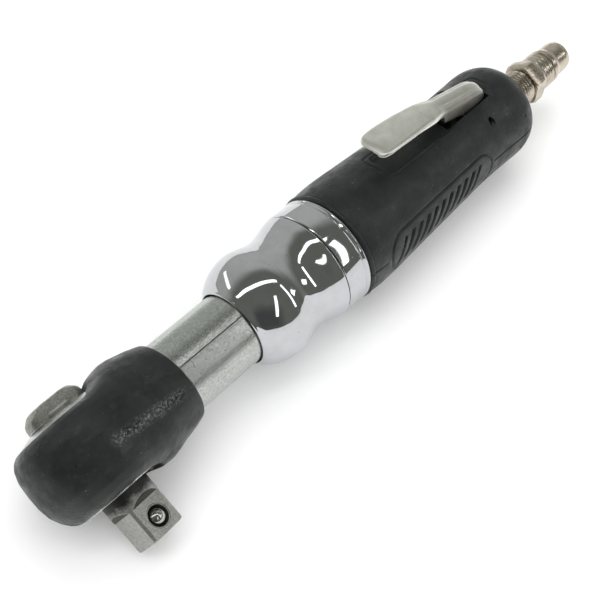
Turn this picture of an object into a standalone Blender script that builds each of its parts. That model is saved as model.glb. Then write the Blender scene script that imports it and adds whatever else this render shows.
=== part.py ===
"""Air ratchet wrench with a 1/2 inch square drive, modelled as the assembly it comes apart into.

Two directions set out the tool. The tool axis runs along X, from the head to the air inlet.
The head axis runs along the square drive, across the tool axis, and is turned round the tool
axis by HEAD_TURN. Lengths are in millimetres and become metres where an object is made.
Sizes along the tool axis ("station") and along the head axis ("height") start where the two
axes cross. The finished tool is stood on the plane Z = 0 with its box centred on the origin.
"""

import math

import bmesh
import bpy
from mathutils import Matrix, Vector

MM = 0.001
GAP = 0.3  # clearance between two pieces that touch on the real tool

# Driving dimensions
HEAD_TURN = 118.0  # degrees from the lever's side of the tool to the square drive
DRIVE_TURN = -15.0  # degrees that the square stands turned about its own axis
SQUARE = 12.7  # across flats of the square drive
SQUARE_END = 33.8  # height of the drive's end face
HEAD_R = 18.8  # metal head, seen along the head axis
HEAD_BACK = -13.9  # knob-side face
HEAD_FRONT = 15.4  # drive-side face
POCKET_R = 13.2  # bore in the head that holds the yoke
POCKET_FLOOR = -8.8
BOOT_R = 22.0
BOOT_END = 34.0
NECK_R = 13.4
NECK_BORE_R = 10.5
NUT_START = 61.7
NUT_END = 97.4
GRIP_START = 108.4
GRIP_END = 211.0
HOUSING_R = 17.0  # motor housing inside the rubber grip
HOUSING_END = 206.2
LEVER_PIN = (186.3, 14.2)  # station, height above the tool axis
LEVER_PIN_R = 1.45
PLUNGER_STATION = 173.0
PLUG_END = 251.3

# Gears and pawl
MODULE = 0.75
SUN_TEETH = 12
PLANET_TEETH = 12
RING_TEETH = 36
PLANETS = 3
GEAR_START = 74.8
GEAR_END = 86.2
YOKE_TEETH = 28
CRANK_THROW = 1.3
VANES = 4
ROTOR_R = 10.6
CYLINDER_BORE_R = 12.2
CYLINDER_OFFSET = 1.3  # the bore's centre lies below the rotor's

ROUND = 28  # segments round the large turned pieces
MEDIUM = 20
SMALL = 14


# Making and placing objects


def clear_scene():
    for obj in list(bpy.data.objects):
        bpy.data.objects.remove(obj, do_unlink=True)


def new_collection(name, rendered):
    collection = bpy.data.collections.new(name)
    bpy.context.scene.collection.children.link(collection)
    collection.hide_render = not rendered
    return collection


clear_scene()
PARTS = new_collection("air_ratchet", True)
CUTTERS = new_collection("cutters", False)


def material(name, color, roughness, metallic):
    made = bpy.data.materials.new(name)
    made.use_nodes = True
    shader = made.node_tree.nodes["Principled BSDF"]
    shader.inputs["Base Color"].default_value = (*color, 1)
    shader.inputs["Roughness"].default_value = roughness
    shader.inputs["Metallic"].default_value = metallic
    return made


RUBBER = material("black_rubber", (0.025, 0.028, 0.028), 0.55, 0)
SATIN = material("satin_steel", (0.55, 0.56, 0.56), 0.35, 1)
CHROME = material("chrome", (0.75, 0.75, 0.76), 0.06, 1)
DARK_STEEL = material("dark_steel", (0.13, 0.13, 0.11), 0.4, 1)
BRIGHT_STEEL = material("bright_steel", (0.6, 0.6, 0.58), 0.25, 1)
NICKEL = material("nickel_plate", (0.5, 0.49, 0.43), 0.3, 1)
BRONZE = material("bronze", (0.5, 0.32, 0.14), 0.4, 1)
FIBRE = material("vane_fibre", (0.18, 0.09, 0.04), 0.7, 0)
SEAL = material("seal_rubber", (0.02, 0.02, 0.02), 0.6, 0)


def empty(name, parent=None, rotation=(0, 0, 0), location=(0, 0, 0)):
    frame = bpy.data.objects.new(name, None)
    frame.parent = parent
    frame.rotation_euler = [math.radians(angle) for angle in rotation]
    frame.location = Vector(location) * MM
    PARTS.objects.link(frame)
    return frame


TOOL = empty("tool_frame")
TOOL_AXIS = empty("tool_axis", TOOL, (0, 90, 0))  # its Z runs along the tool, its -X is up
HEAD_AXIS = empty("head_axis", TOOL, (HEAD_TURN, 0, 0))  # its Z runs along the drive


def add(name, mesh, frame, look, cutter=False):
    obj = bpy.data.objects.new(name, mesh)
    obj.parent = frame
    if cutter:
        CUTTERS.objects.link(obj)
        obj.hide_render = True
        obj.display_type = "WIRE"
        return obj
    PARTS.objects.link(obj)
    mesh.materials.append(look)
    return obj


def finish_mesh(name, shape, smooth=True):
    bmesh.ops.recalc_face_normals(shape, faces=shape.faces)
    mesh = bpy.data.meshes.new(name)
    shape.to_mesh(mesh)
    shape.free()
    if smooth:
        mesh.shade_smooth()
        mesh.set_sharp_from_angle(angle=math.radians(35))
    return mesh


def turned(name, outer, frame, look=None, bore=None, steps=ROUND, turn=0.0, cutter=False):
    """A turned piece. outer and bore list (place along the axis, radius), in order along it."""
    shape = bmesh.new()
    profile = [(along, radius) for along, radius in reversed(outer)]
    if bore:
        profile += list(bore)
    else:
        profile = [(outer[-1][0], 0.0)] + profile + [(outer[0][0], 0.0)]
    points = [shape.verts.new((radius * MM, 0, along * MM)) for along, radius in profile]
    for first, second in zip(points, points[1:]):
        shape.edges.new((first, second))
    if bore:
        shape.edges.new((points[-1], points[0]))
    mesh = bpy.data.meshes.new(name)
    shape.to_mesh(mesh)
    shape.free()
    obj = add(name, mesh, frame, look, cutter)
    obj.rotation_euler.z = math.radians(turn)
    screw = obj.modifiers.new("turn", "SCREW")
    screw.axis = "Z"
    screw.steps = steps
    screw.render_steps = steps
    screw.use_merge_vertices = True
    screw.merge_threshold = 1e-6
    screw.use_smooth_shade = steps > 6
    return obj


def box(name, low, high, frame, look=None, turn=0.0, cutter=False):
    """A block between two corners given in the frame's own axes, turned about the frame's Z."""
    low, high = Vector(low) * MM, Vector(high) * MM
    shape = bmesh.new()
    bmesh.ops.create_cube(shape, size=1)
    place = Matrix.Translation((low + high) / 2) @ Matrix.Diagonal((*(high - low), 1))
    bmesh.ops.transform(shape, matrix=place, verts=shape.verts)
    obj = add(name, finish_mesh(name, shape, smooth=False), frame, look, cutter)
    obj.rotation_euler.z = math.radians(turn)
    return obj


def rod(name, radius, start, end, frame, look=None, steps=SMALL, cutter=False):
    """A plain round bar between two points given in the frame's own axes."""
    start, end = Vector(start) * MM, Vector(end) * MM
    shape = bmesh.new()
    bmesh.ops.create_cone(
        shape,
        cap_ends=True,
        segments=steps,
        radius1=radius * MM,
        radius2=radius * MM,
        depth=(end - start).length,
    )
    turn = Vector((0, 0, 1)).rotation_difference(end - start).to_matrix().to_4x4()
    place = Matrix.Translation((start + end) / 2) @ turn
    bmesh.ops.transform(shape, matrix=place, verts=shape.verts)
    return add(name, finish_mesh(name, shape), frame, look, cutter)


def plate(name, outlines, low, high, frame, look=None, cutter=False):
    """A flat outline, with its holes, given a thickness along the frame's Z."""
    drawing = bpy.data.curves.new(name, "CURVE")
    drawing.dimensions = "2D"
    drawing.fill_mode = "BOTH"
    drawing.extrude = (high - low) / 2 * MM
    for outline in outlines:
        spline = drawing.splines.new("POLY")
        spline.points.add(len(outline) - 1)
        for point, (x, y) in zip(spline.points, outline):
            point.co = (x * MM, y * MM, 0, 1)
        spline.use_cyclic_u = True
    return meshed(name, drawing, frame, look, (0, 0, (low + high) / 2), cutter)


def meshed(name, drawing, frame, look, offset=(0, 0, 0), cutter=False):
    """The curve as a closed mesh, with its loose caps welded on."""
    guide = bpy.data.objects.new(name + "_curve", drawing)
    bpy.context.scene.collection.objects.link(guide)
    bpy.context.view_layer.update()
    graph = bpy.context.evaluated_depsgraph_get()
    mesh = bpy.data.meshes.new_from_object(guide.evaluated_get(graph))
    bpy.data.objects.remove(guide)
    shape = bmesh.new()
    shape.from_mesh(mesh)
    bmesh.ops.remove_doubles(shape, verts=shape.verts, dist=1e-6)
    bmesh.ops.translate(shape, vec=Vector(offset) * MM, verts=shape.verts)
    return add(name, finish_mesh(name, shape), frame, look, cutter)


def coil(name, radius, wire, turns, start, end, frame, look):
    """A compression spring between two points, its first and last turns closed up."""
    start, end = Vector(start), Vector(end)
    along = (end - start).normalized()
    side = along.orthogonal().normalized()
    across = along.cross(side)
    length = (end - start).length - 2 * wire
    drawing = bpy.data.curves.new(name, "CURVE")
    drawing.dimensions = "3D"
    drawing.bevel_depth = wire * MM
    drawing.bevel_resolution = 1
    drawing.use_fill_caps = True
    spline = drawing.splines.new("POLY")
    count = int(turns * 8)
    spline.points.add(count)
    for i, point in enumerate(spline.points):
        part = i / count
        angle = 2 * math.pi * turns * part
        rise = wire + length * part
        place = start + along * rise + (side * math.cos(angle) + across * math.sin(angle)) * radius
        point.co = (*(place * MM), 1)
    return meshed(name, drawing, frame, look)


def hang_on(obj, name, frame, place):
    """Gives a swinging piece an empty on its pivot as its parent, leaving it where it is."""
    obj.parent = empty(name, frame, location=place)
    obj.location -= Vector(place) * MM


def cut(obj, cutter):
    change = obj.modifiers.new("cut", "BOOLEAN")
    change.operation = "DIFFERENCE"
    change.object = cutter


def join(obj, other):
    change = obj.modifiers.new("join", "BOOLEAN")
    change.operation = "UNION"
    change.object = other


def keep_inside(obj, other):
    change = obj.modifiers.new("keep", "BOOLEAN")
    change.operation = "INTERSECT"
    change.object = other


def circle(radius, count, centre=(0, 0)):
    turns = [2 * math.pi * i / count for i in range(count)]
    return [(centre[0] + radius * math.cos(a), centre[1] + radius * math.sin(a)) for a in turns]


def polar(radius, degrees):
    return radius * math.cos(math.radians(degrees)), radius * math.sin(math.radians(degrees))


def gear_outline(teeth, internal=False, turn=0.0):
    """Involute teeth with stub addendum, a tooth centred on the angle turn (degrees)."""
    pressure = math.radians(20)
    pitch_r = MODULE * teeth / 2
    base_r = pitch_r * math.cos(pressure)
    addendum, dedendum, play = 0.8 * MODULE, 1.05 * MODULE, 0.13
    side = -1 if internal else 1
    tip_r, root_r = pitch_r + side * addendum, pitch_r - side * dedendum

    def involute(radius):
        angle = math.acos(min(1.0, base_r / radius))  # no involute below the base circle
        return math.tan(angle) - angle

    def half_width(radius):
        width = math.pi / (2 * teeth) - play / (2 * pitch_r)
        return width + side * (involute(pitch_r) - involute(radius))

    radii = [root_r, tip_r] if internal else [root_r, pitch_r, tip_r]
    outline = []
    for tooth in range(teeth):
        centre = math.radians(turn) + 2 * math.pi * tooth / teeth
        flank = [(radius, half_width(radius)) for radius in radii]
        rising = [(radius, centre - width) for radius, width in flank]
        falling = [(radius, centre + width) for radius, width in reversed(flank)]
        outline += [(r * math.cos(a), r * math.sin(a)) for r, a in rising + falling]
    return outline


# The head


def ratchet_housing():
    head = turned(
        "ratchet_housing",
        [
            (HEAD_BACK, 11.6),
            (HEAD_BACK + 2.0, 17.0),
            (HEAD_BACK + 3.8, HEAD_R),
            (HEAD_FRONT - 5.4, HEAD_R),
            (HEAD_FRONT - 2.4, 16.8),
            (HEAD_FRONT, 14.6),
        ],
        HEAD_AXIS,
        SATIN,
    )
    flange_r, flange_start, flange_end = 16.8, 68.0, 72.4
    neck = turned(
        "neck_solid",
        [(6, NECK_R), (flange_start, NECK_R), (flange_start, flange_r), (flange_end, flange_r)],
        TOOL_AXIS,
        cutter=True,
    )
    ring_groove_r = 14.0
    pocket = turned(
        "head_pocket",
        [
            (HEAD_BACK - 5, 9.0),
            (POCKET_FLOOR, 9.0),
            (POCKET_FLOOR, POCKET_R),
            (13.6, POCKET_R),
            (13.6, ring_groove_r),
            (14.9, ring_groove_r),
            (14.9, POCKET_R),
            (HEAD_FRONT + 5, POCKET_R),
        ],
        HEAD_AXIS,
        cutter=True,
    )
    bore = turned(
        "neck_bore",
        [(7, NECK_BORE_R), (69.8, NECK_BORE_R), (69.8, 13.2), (flange_end + 5, 13.2)],
        TOOL_AXIS,
        cutter=True,
    )
    join(head, neck)
    cut(head, pocket)
    cut(head, bore)


def head_boot():
    """The moulded rubber cover: a sleeve round the head that runs into a collar on the neck."""
    boot = turned(
        "head_boot",
        [
            (-11.9, 16.9),
            (-11.2, 18.6),
            (-9.0, 20.4),
            (-6.0, 21.5),
            (-1.0, BOOT_R),
            (4.0, BOOT_R),
            (8.0, 21.2),
            (11.5, 19.2),
            (14.0, 16.9),
            (15.6, 14.2),
            (15.9, 12.4),
        ],
        HEAD_AXIS,
        RUBBER,
    )
    collar = turned(
        "boot_collar",
        [
            (8.0, 12.4),
            (11.0, 14.6),
            (15.0, 16.6),
            (18.5, 17.6),
            (21.5, 17.7),
            (25.0, 17.1),
            (29.0, 16.5),
            (32.5, 15.5),
            (BOOT_END, 14.6),
        ],
        TOOL_AXIS,
        cutter=True,
    )
    head_space = turned(
        "boot_head_space",
        [
            (HEAD_BACK - 6, 14.4),
            (HEAD_BACK + 1.2, 16.2),
            (HEAD_BACK + 3.5, HEAD_R + GAP),
            (HEAD_FRONT - 5.2, HEAD_R + GAP),
            (HEAD_FRONT - 2.2, 17.2),
            (HEAD_FRONT + 0.2, 15.1),
            (HEAD_FRONT + 0.2, 12.9),
            (HEAD_FRONT + 6, 12.9),
        ],
        HEAD_AXIS,
        cutter=True,
    )
    neck_space = turned(
        "boot_neck_space",
        [(5, NECK_R + GAP), (45, NECK_R + GAP)],
        TOOL_AXIS,
        cutter=True,
    )
    join(boot, collar)
    cut(boot, head_space)
    cut(boot, neck_space)


ANVIL_R = 9.4
JOURNAL_R = 8.7
DRIVE_NECK_R = 8.4
KNOB_SHAFT_R = 2.9
PAWL_PIN_X = -6.3
PAWL_PIN_R = 1.2
BALL_HEIGHT = 28.3
BALL_R = 2.7
BALL_OUT = 1.3  # how far the detent ball stands out of the square's face


def drive_anvil():
    """The round body that carries the pawl, in one piece with the square drive."""
    anvil = turned(
        "drive_anvil",
        [
            (-12.6, JOURNAL_R),
            (-8.4, JOURNAL_R),
            (-8.4, ANVIL_R),
            (8.7, ANVIL_R),
            (8.7, JOURNAL_R),
            (15.6, JOURNAL_R),
            (16.0, DRIVE_NECK_R),
            (19.4, DRIVE_NECK_R),
        ],
        HEAD_AXIS,
        DARK_STEEL,
    )
    corner = math.sqrt(2)
    ramp_start, ramp_end, end_chamfer = 19.8, 22.2, 0.8
    square = turned(
        "drive_square",
        [
            (19.0, 8.6 * corner),
            (ramp_start, 8.6 * corner),
            (ramp_end, SQUARE / 2 * corner),
            (SQUARE_END - end_chamfer, SQUARE / 2 * corner),
            (SQUARE_END, (SQUARE / 2 - end_chamfer) * corner),
        ],
        HEAD_AXIS,
        steps=4,
        turn=45 + DRIVE_TURN,
        cutter=True,
    )
    bar = turned(
        "drive_bar",
        [
            (18.0, DRIVE_NECK_R),
            (SQUARE_END - 1, DRIVE_NECK_R),
            (SQUARE_END + 0.2, DRIVE_NECK_R - 1.0),
        ],
        HEAD_AXIS,
        cutter=True,
    )
    keep_inside(square, bar)
    join(anvil, square)
    slot = box("pawl_slot", (-14, -14, -2.6), (-1.9, 14, 2.6), HEAD_AXIS, cutter=True)
    shaft_bore = rod(
        "knob_shaft_bore",
        KNOB_SHAFT_R + GAP,
        (0, 0, -15),
        (0, 0, 3.3),
        HEAD_AXIS,
        cutter=True,
    )
    pin_bore = rod(
        "pawl_pin_bore",
        PAWL_PIN_R + GAP,
        (PAWL_PIN_X, 0, -7.2),
        (PAWL_PIN_X, 0, 10),
        HEAD_AXIS,
        cutter=True,
    )
    for cutter in (slot, shaft_bore, pin_bore):
        cut(anvil, cutter)
    face = Vector((*polar(1, 90 + DRIVE_TURN), 0))
    rise = Vector((0, 0, BALL_HEIGHT))
    hole = rod(
        "detent_bore", BALL_R + GAP, rise - face * 3.2, rise + face * 9, HEAD_AXIS, cutter=True
    )
    cut(anvil, hole)
    return face, rise


def detent(face, rise):
    """The ball and spring that hold a socket on the square."""
    centre = rise + face * (SQUARE / 2 + BALL_OUT - BALL_R)
    shape = bmesh.new()
    bmesh.ops.create_uvsphere(shape, u_segments=16, v_segments=10, radius=BALL_R * MM)
    ball = add("detent_ball", finish_mesh("detent_ball", shape), HEAD_AXIS, BRIGHT_STEEL)
    ball.location = centre * MM
    behind = centre - face * (BALL_R + GAP)
    coil("detent_spring", 1.7, 0.3, 4.5, rise - face * 2.9, behind, HEAD_AXIS, BRIGHT_STEEL)


def retaining_ring():
    """The open snap ring with two eyes that holds the anvil's cover in the head."""
    inner, outer, opening = 11.6, 13.7, 14
    low, high = 13.85, 14.65
    angles = [opening + (360 - 2 * opening) * i / 30 for i in range(31)]
    outline = [polar(outer, angle) for angle in angles]
    outline += [polar(inner, angle) for angle in reversed(angles)]
    ring = plate("retaining_ring", [outline], low, high, HEAD_AXIS, BRIGHT_STEEL)
    for name, side in (("left", 1), ("right", -1)):
        centre = polar(11.0, side * (opening + 5))
        start, end = (*centre, low), (*centre, high)
        eye = rod("ring_eye_" + name, 1.7, start, end, HEAD_AXIS, steps=12, cutter=True)
        start, end = (*centre, low - 1), (*centre, high + 1)
        hole = rod("ring_hole_" + name, 0.8, start, end, HEAD_AXIS, steps=10, cutter=True)
        join(ring, eye)
        cut(ring, hole)


def head_washers():
    outer = POCKET_R - GAP
    turned(
        "cover_plate",
        [(9.1, outer), (13.4, outer)],
        HEAD_AXIS,
        BRIGHT_STEEL,
        bore=[(9.1, JOURNAL_R + GAP), (13.4, JOURNAL_R + GAP)],
        steps=MEDIUM,
    )
    for name, low, high in (("knob_side", -8.5, -4.9), ("drive_side", 4.9, 8.8)):
        turned(
            "thrust_washer_" + name,
            [(low, outer), (high, outer)],
            HEAD_AXIS,
            BRONZE,
            bore=[(low, ANVIL_R + GAP), (high, ANVIL_R + GAP)],
            steps=MEDIUM,
        )


def reverse_knob():
    """The reversing knob, with the shaft that reaches down to the back of the pawl."""
    half_length, half_width, corner = 10.1, 6.0, 4.5
    outline = []
    for x_side, y_side, start in ((1, 1, 0), (-1, 1, 90), (-1, -1, 180), (1, -1, 270)):
        centre = Vector((x_side * (half_length - corner), y_side * (half_width - corner)))
        outline += [tuple(centre + Vector(polar(corner, start + 90 * i / 4))) for i in range(5)]
    bar = plate("knob_bar", [outline], -22, -12.9, HEAD_AXIS, cutter=True)
    knob = turned(
        "reverse_knob",
        [
            (-19.4, 6.6),
            (-18.9, 8.2),
            (-17.8, 9.4),
            (-16.2, 10.4),
            (HEAD_BACK - GAP, 10.6),
        ],
        HEAD_AXIS,
        DARK_STEEL,
    )
    shaft = turned(
        "knob_shaft",
        [(-15.5, 7.2), (-12.9, 7.2), (-12.9, KNOB_SHAFT_R), (3.0, KNOB_SHAFT_R)],
        HEAD_AXIS,
        steps=SMALL,
        cutter=True,
    )
    keep_inside(knob, bar)
    join(knob, shaft)
    cut(knob, rod("plunger_bore", 1.3, (-8, 0, 0), (2.1, 0, 0), HEAD_AXIS, steps=12, cutter=True))


def pawl_parts():
    """The double-ended pawl, its pin, and the sprung plunger that flips it."""
    edge_r, tooth_r, back, half_tooth = 8.8, ANVIL_R, -3.9, 2.6
    tooth_pitch = 360 / YOKE_TEETH
    last_tooth = 62.4
    upper = [polar(edge_r, 180 - angle) for angle in (0, 12, 24, 36, 46)]
    for place in (last_tooth - tooth_pitch, last_tooth):
        upper.append(polar(edge_r, 180 - place + half_tooth))
        upper.append(polar(tooth_r, 180 - place))
        upper.append(polar(edge_r, 180 - place - half_tooth))
    upper += [(back - 0.1, 6.6), (back, 4.4)]
    outline = upper + [(x, -y) for x, y in reversed(upper) if y > 1e-9]
    pin_hole = circle(PAWL_PIN_R + GAP, 14, (PAWL_PIN_X, 0))
    pawl = plate("pawl", [outline, pin_hole], -2.3, 2.3, HEAD_AXIS, BRIGHT_STEEL)
    hang_on(pawl, "pawl_pivot", HEAD_AXIS, (PAWL_PIN_X, 0, 0))
    low, high = (PAWL_PIN_X, 0, -6.9), (PAWL_PIN_X, 0, 8.4)
    rod("pawl_pin", PAWL_PIN_R, low, high, HEAD_AXIS, BRIGHT_STEEL)
    rod("pawl_plunger", 1.0, (-3.6, 0, 0), (-0.9, 0, 0), HEAD_AXIS, BRIGHT_STEEL, steps=12)
    coil("pawl_spring", 0.7, 0.18, 4, (1.8, 0, 0), (-0.6, 0, 0), HEAD_AXIS, BRIGHT_STEEL)


FORK_HALF_GAP = 5.6
FORK_HALF_WIDTH = 7.8
FORK_END = 34.0
YOKE_R = POCKET_R - GAP


def ratchet_yoke():
    """The ring with inside teeth round the anvil, and the fork that the crank rocks."""
    root_r, tip_r, tooth = 10.7, ANVIL_R + GAP, 360 / YOKE_TEETH
    teeth = []
    for i in range(YOKE_TEETH):
        centre = 180 + tooth * i
        teeth += [
            polar(root_r, centre - tooth * 0.34),
            polar(tip_r, centre - tooth * 0.16),
            polar(tip_r, centre + tooth * 0.16),
            polar(root_r, centre + tooth * 0.34),
        ]
    start = math.degrees(math.asin(FORK_HALF_WIDTH / YOKE_R))
    inner_x = math.sqrt(YOKE_R**2 - FORK_HALF_GAP**2)
    ring = [polar(YOKE_R, start + (360 - 2 * start) * i / 34) for i in range(35)]
    fork = [
        (FORK_END, -FORK_HALF_WIDTH),
        (FORK_END, -FORK_HALF_GAP),
        (inner_x, -FORK_HALF_GAP),
        (YOKE_R, 0),
        (inner_x, FORK_HALF_GAP),
        (FORK_END, FORK_HALF_GAP),
        (FORK_END, FORK_HALF_WIDTH),
    ]
    plate("ratchet_yoke", [ring + fork, teeth], -4.5, 4.5, HEAD_AXIS, BRIGHT_STEEL)


# The crank and the reduction gears

CARRIER_START = 70.4
CARRIER_END = 90.2
PLANET_R = MODULE * (SUN_TEETH + PLANET_TEETH) / 2
CRANK_PIN_R = 2.2
PLANET_PIN_R = 1.5


def throw_direction():
    """At rest the crank pin stands off along the head axis, with the yoke in mid swing."""
    angle = math.radians(HEAD_TURN)
    across, up = -math.sin(angle), math.cos(angle)
    return Vector((-up, across, 0))


def crankshaft():
    shaft = turned(
        "crankshaft",
        [
            (36.4, 6.6),
            (40.0, 6.6),
            (40.0, 6.0),
            (CARRIER_START, 6.0),
            (CARRIER_START, 12.5),
            (CARRIER_END, 12.5),
        ],
        TOOL_AXIS,
        BRIGHT_STEEL,
    )
    offset = throw_direction() * CRANK_THROW
    start, end = offset + Vector((0, 0, 26.0)), offset + Vector((0, 0, 37.5))
    join(shaft, rod("crank_pin", CRANK_PIN_R, start, end, TOOL_AXIS, steps=18, cutter=True))
    sun_space = rod("sun_space", 5.7, (0, 0, 74.3), (0, 0, 95), TOOL_AXIS, cutter=True)
    cut(shaft, sun_space)
    for i in range(PLANETS):
        centre = Vector((*polar(PLANET_R, 360 / PLANETS * i), 0))
        pocket = rod(
            f"planet_pocket_{i + 1}",
            5.6,
            centre + Vector((0, 0, GEAR_START - GAP)),
            centre + Vector((0, 0, GEAR_END + GAP)),
            TOOL_AXIS,
            cutter=True,
        )
        pin_hole = rod(
            f"planet_pin_hole_{i + 1}",
            PLANET_PIN_R + 0.25,
            centre + Vector((0, 0, 71.6)),
            centre + Vector((0, 0, 95)),
            TOOL_AXIS,
            cutter=True,
        )
        cut(shaft, pocket)
        cut(shaft, pin_hole)
    outer, inner = 3.6, CRANK_PIN_R + 0.2
    bushing = turned(
        "drive_bushing",
        [(26.4, 3.1), (28.4, outer), (33.6, outer), (35.6, 3.1)],
        TOOL_AXIS,
        BRONZE,
        bore=[(26.4, inner), (35.6, inner)],
        steps=SMALL,
    )
    bushing.location = offset * MM


def planet_gears():
    outline = gear_outline(PLANET_TEETH, turn=180 / PLANET_TEETH)
    for i in range(PLANETS):
        centre = Vector((*polar(PLANET_R, 360 / PLANETS * i), 0))
        gear = plate(
            f"planet_gear_{i + 1}",
            [outline, circle(PLANET_PIN_R + 0.2, 12)],
            GEAR_START,
            GEAR_END,
            TOOL_AXIS,
            BRIGHT_STEEL,
        )
        gear.location = centre * MM
        rod(
            f"planet_pin_{i + 1}",
            PLANET_PIN_R,
            centre + Vector((0, 0, 71.9)),
            centre + Vector((0, 0, CARRIER_END)),
            TOOL_AXIS,
            BRIGHT_STEEL,
        )


def ring_gear():
    plate(
        "ring_gear",
        [circle(16.7, ROUND), gear_outline(RING_TEETH, internal=True)],
        72.8,
        90.0,
        TOOL_AXIS,
        BRIGHT_STEEL,
    )


def crank_bearing():
    turned(
        "crank_bearing",
        [(44.0, NECK_BORE_R - 0.25), (66.0, NECK_BORE_R - 0.25)],
        TOOL_AXIS,
        BRONZE,
        bore=[(44.0, 6.25), (66.0, 6.25)],
        steps=SMALL,
    )


def clamp_nut():
    """The plated nut that draws the ratchet housing onto the motor housing."""
    turned(
        "clamp_nut",
        [
            (NUT_START, 14.4),
            (64.0, 16.4),
            (67.5, 18.6),
            (71.5, 20.0),
            (75.5, 20.5),
            (79.0, 19.9),
            (83.0, 18.8),
            (87.0, 18.4),
            (91.0, 19.0),
            (95.0, 20.1),
            (NUT_END, 20.4),
        ],
        TOOL_AXIS,
        CHROME,
        bore=[
            (NUT_START, NECK_R + 0.4),
            (67.6, NECK_R + 0.4),
            (67.6, 17.1),
            (90.4, 17.1),
            (90.4, 17.5),
            (NUT_END, 17.5),
        ],
    )


# The air motor

MOTOR_BORE_R = 14.6
STACK_R = MOTOR_BORE_R - GAP
FRONT_PLATE = (93.8, 99.8)
CYLINDER = (100.1, 142.1)
REAR_PLATE = (142.4, 148.4)
ROTOR = (100.4, 141.8)
BEARING_R = 7.6


def end_plates_and_bearings():
    front, rear = FRONT_PLATE, REAR_PLATE
    turned(
        "front_end_plate",
        [(front[0], STACK_R), (front[1], STACK_R)],
        TOOL_AXIS,
        SATIN,
        bore=[
            (front[0], BEARING_R + 0.2),
            (front[1] - 1.5, BEARING_R + 0.2),
            (front[1] - 1.5, 5.0),
            (front[1], 5.0),
        ],
        steps=MEDIUM,
    )
    turned(
        "rear_end_plate",
        [(rear[0], STACK_R), (rear[1], STACK_R)],
        TOOL_AXIS,
        SATIN,
        bore=[
            (rear[0], 4.4),
            (rear[0] + 1.5, 4.4),
            (rear[0] + 1.5, BEARING_R + 0.2),
            (rear[1], BEARING_R + 0.2),
        ],
        steps=MEDIUM,
    )
    for name, start, inner in (("front", front[0] + 0.1, 4.2), ("rear", rear[0] + 1.8, 3.3)):
        end = start + 4.2
        turned(
            name + "_bearing",
            [(start, BEARING_R), (end, BEARING_R)],
            TOOL_AXIS,
            BRIGHT_STEEL,
            bore=[(start, inner), (end, inner)],
            steps=SMALL,
        )


def air_cylinder():
    """The motor's liner. Its bore is off centre, so the vanes sweep a changing gap."""
    cylinder = turned(
        "air_cylinder",
        [(CYLINDER[0], STACK_R), (CYLINDER[1], STACK_R)],
        TOOL_AXIS,
        SATIN,
        steps=MEDIUM,
    )
    low = CYLINDER_OFFSET  # the frame's +X points down
    bore = rod(
        "cylinder_bore",
        CYLINDER_BORE_R,
        (low, 0, CYLINDER[0] - 5),
        (low, 0, CYLINDER[1] + 5),
        TOOL_AXIS,
        steps=MEDIUM,
        cutter=True,
    )
    cut(cylinder, bore)
    for i in range(3):
        middle = CYLINDER[0] + 11 + i * 10
        port = box(
            f"exhaust_port_{i + 1}",
            (4, 8, middle - 2.2),
            (8, 18, middle + 2.2),
            TOOL_AXIS,
            cutter=True,
        )
        cut(cylinder, port)


VANE_INNER = 5.6
VANE_HALF = 0.8


def rotor_and_vanes():
    rotor = turned(
        "rotor",
        [
            (GEAR_START - 0.2, 3.3),
            (88.0, 3.3),
            (88.0, 3.9),
            (ROTOR[0], 3.9),
            (ROTOR[0], ROTOR_R),
            (ROTOR[1], ROTOR_R),
            (ROTOR[1], 3.0),
            (149.6, 3.0),
        ],
        TOOL_AXIS,
        BRIGHT_STEEL,
        steps=MEDIUM,
    )
    sun = plate(
        "sun_teeth", [gear_outline(SUN_TEETH)], GEAR_START, GEAR_END, TOOL_AXIS, cutter=True
    )
    join(rotor, sun)
    for i in range(VANES):
        turn = 45 + 360 / VANES * i
        slot = box(
            f"vane_slot_{i + 1}",
            (VANE_INNER - GAP, -VANE_HALF - 0.2, ROTOR[0] - 1),
            (15, VANE_HALF + 0.2, ROTOR[1] + 1),
            TOOL_AXIS,
            turn=turn,
            cutter=True,
        )
        cut(rotor, slot)
        box(
            f"vane_{i + 1}",
            (VANE_INNER, -VANE_HALF, ROTOR[0] + 0.1),
            (ROTOR_R - 0.2, VANE_HALF, ROTOR[1] - 0.1),
            TOOL_AXIS,
            FIBRE,
            turn=turn,
        )


# The motor housing, grip and valve

VALVE_BORE_R = 6.5
SLOT_HALF = 5.0
SLOT_START = 168.4
SLOT_END = 193.5
SLOT_FLOOR = 11.0


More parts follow.
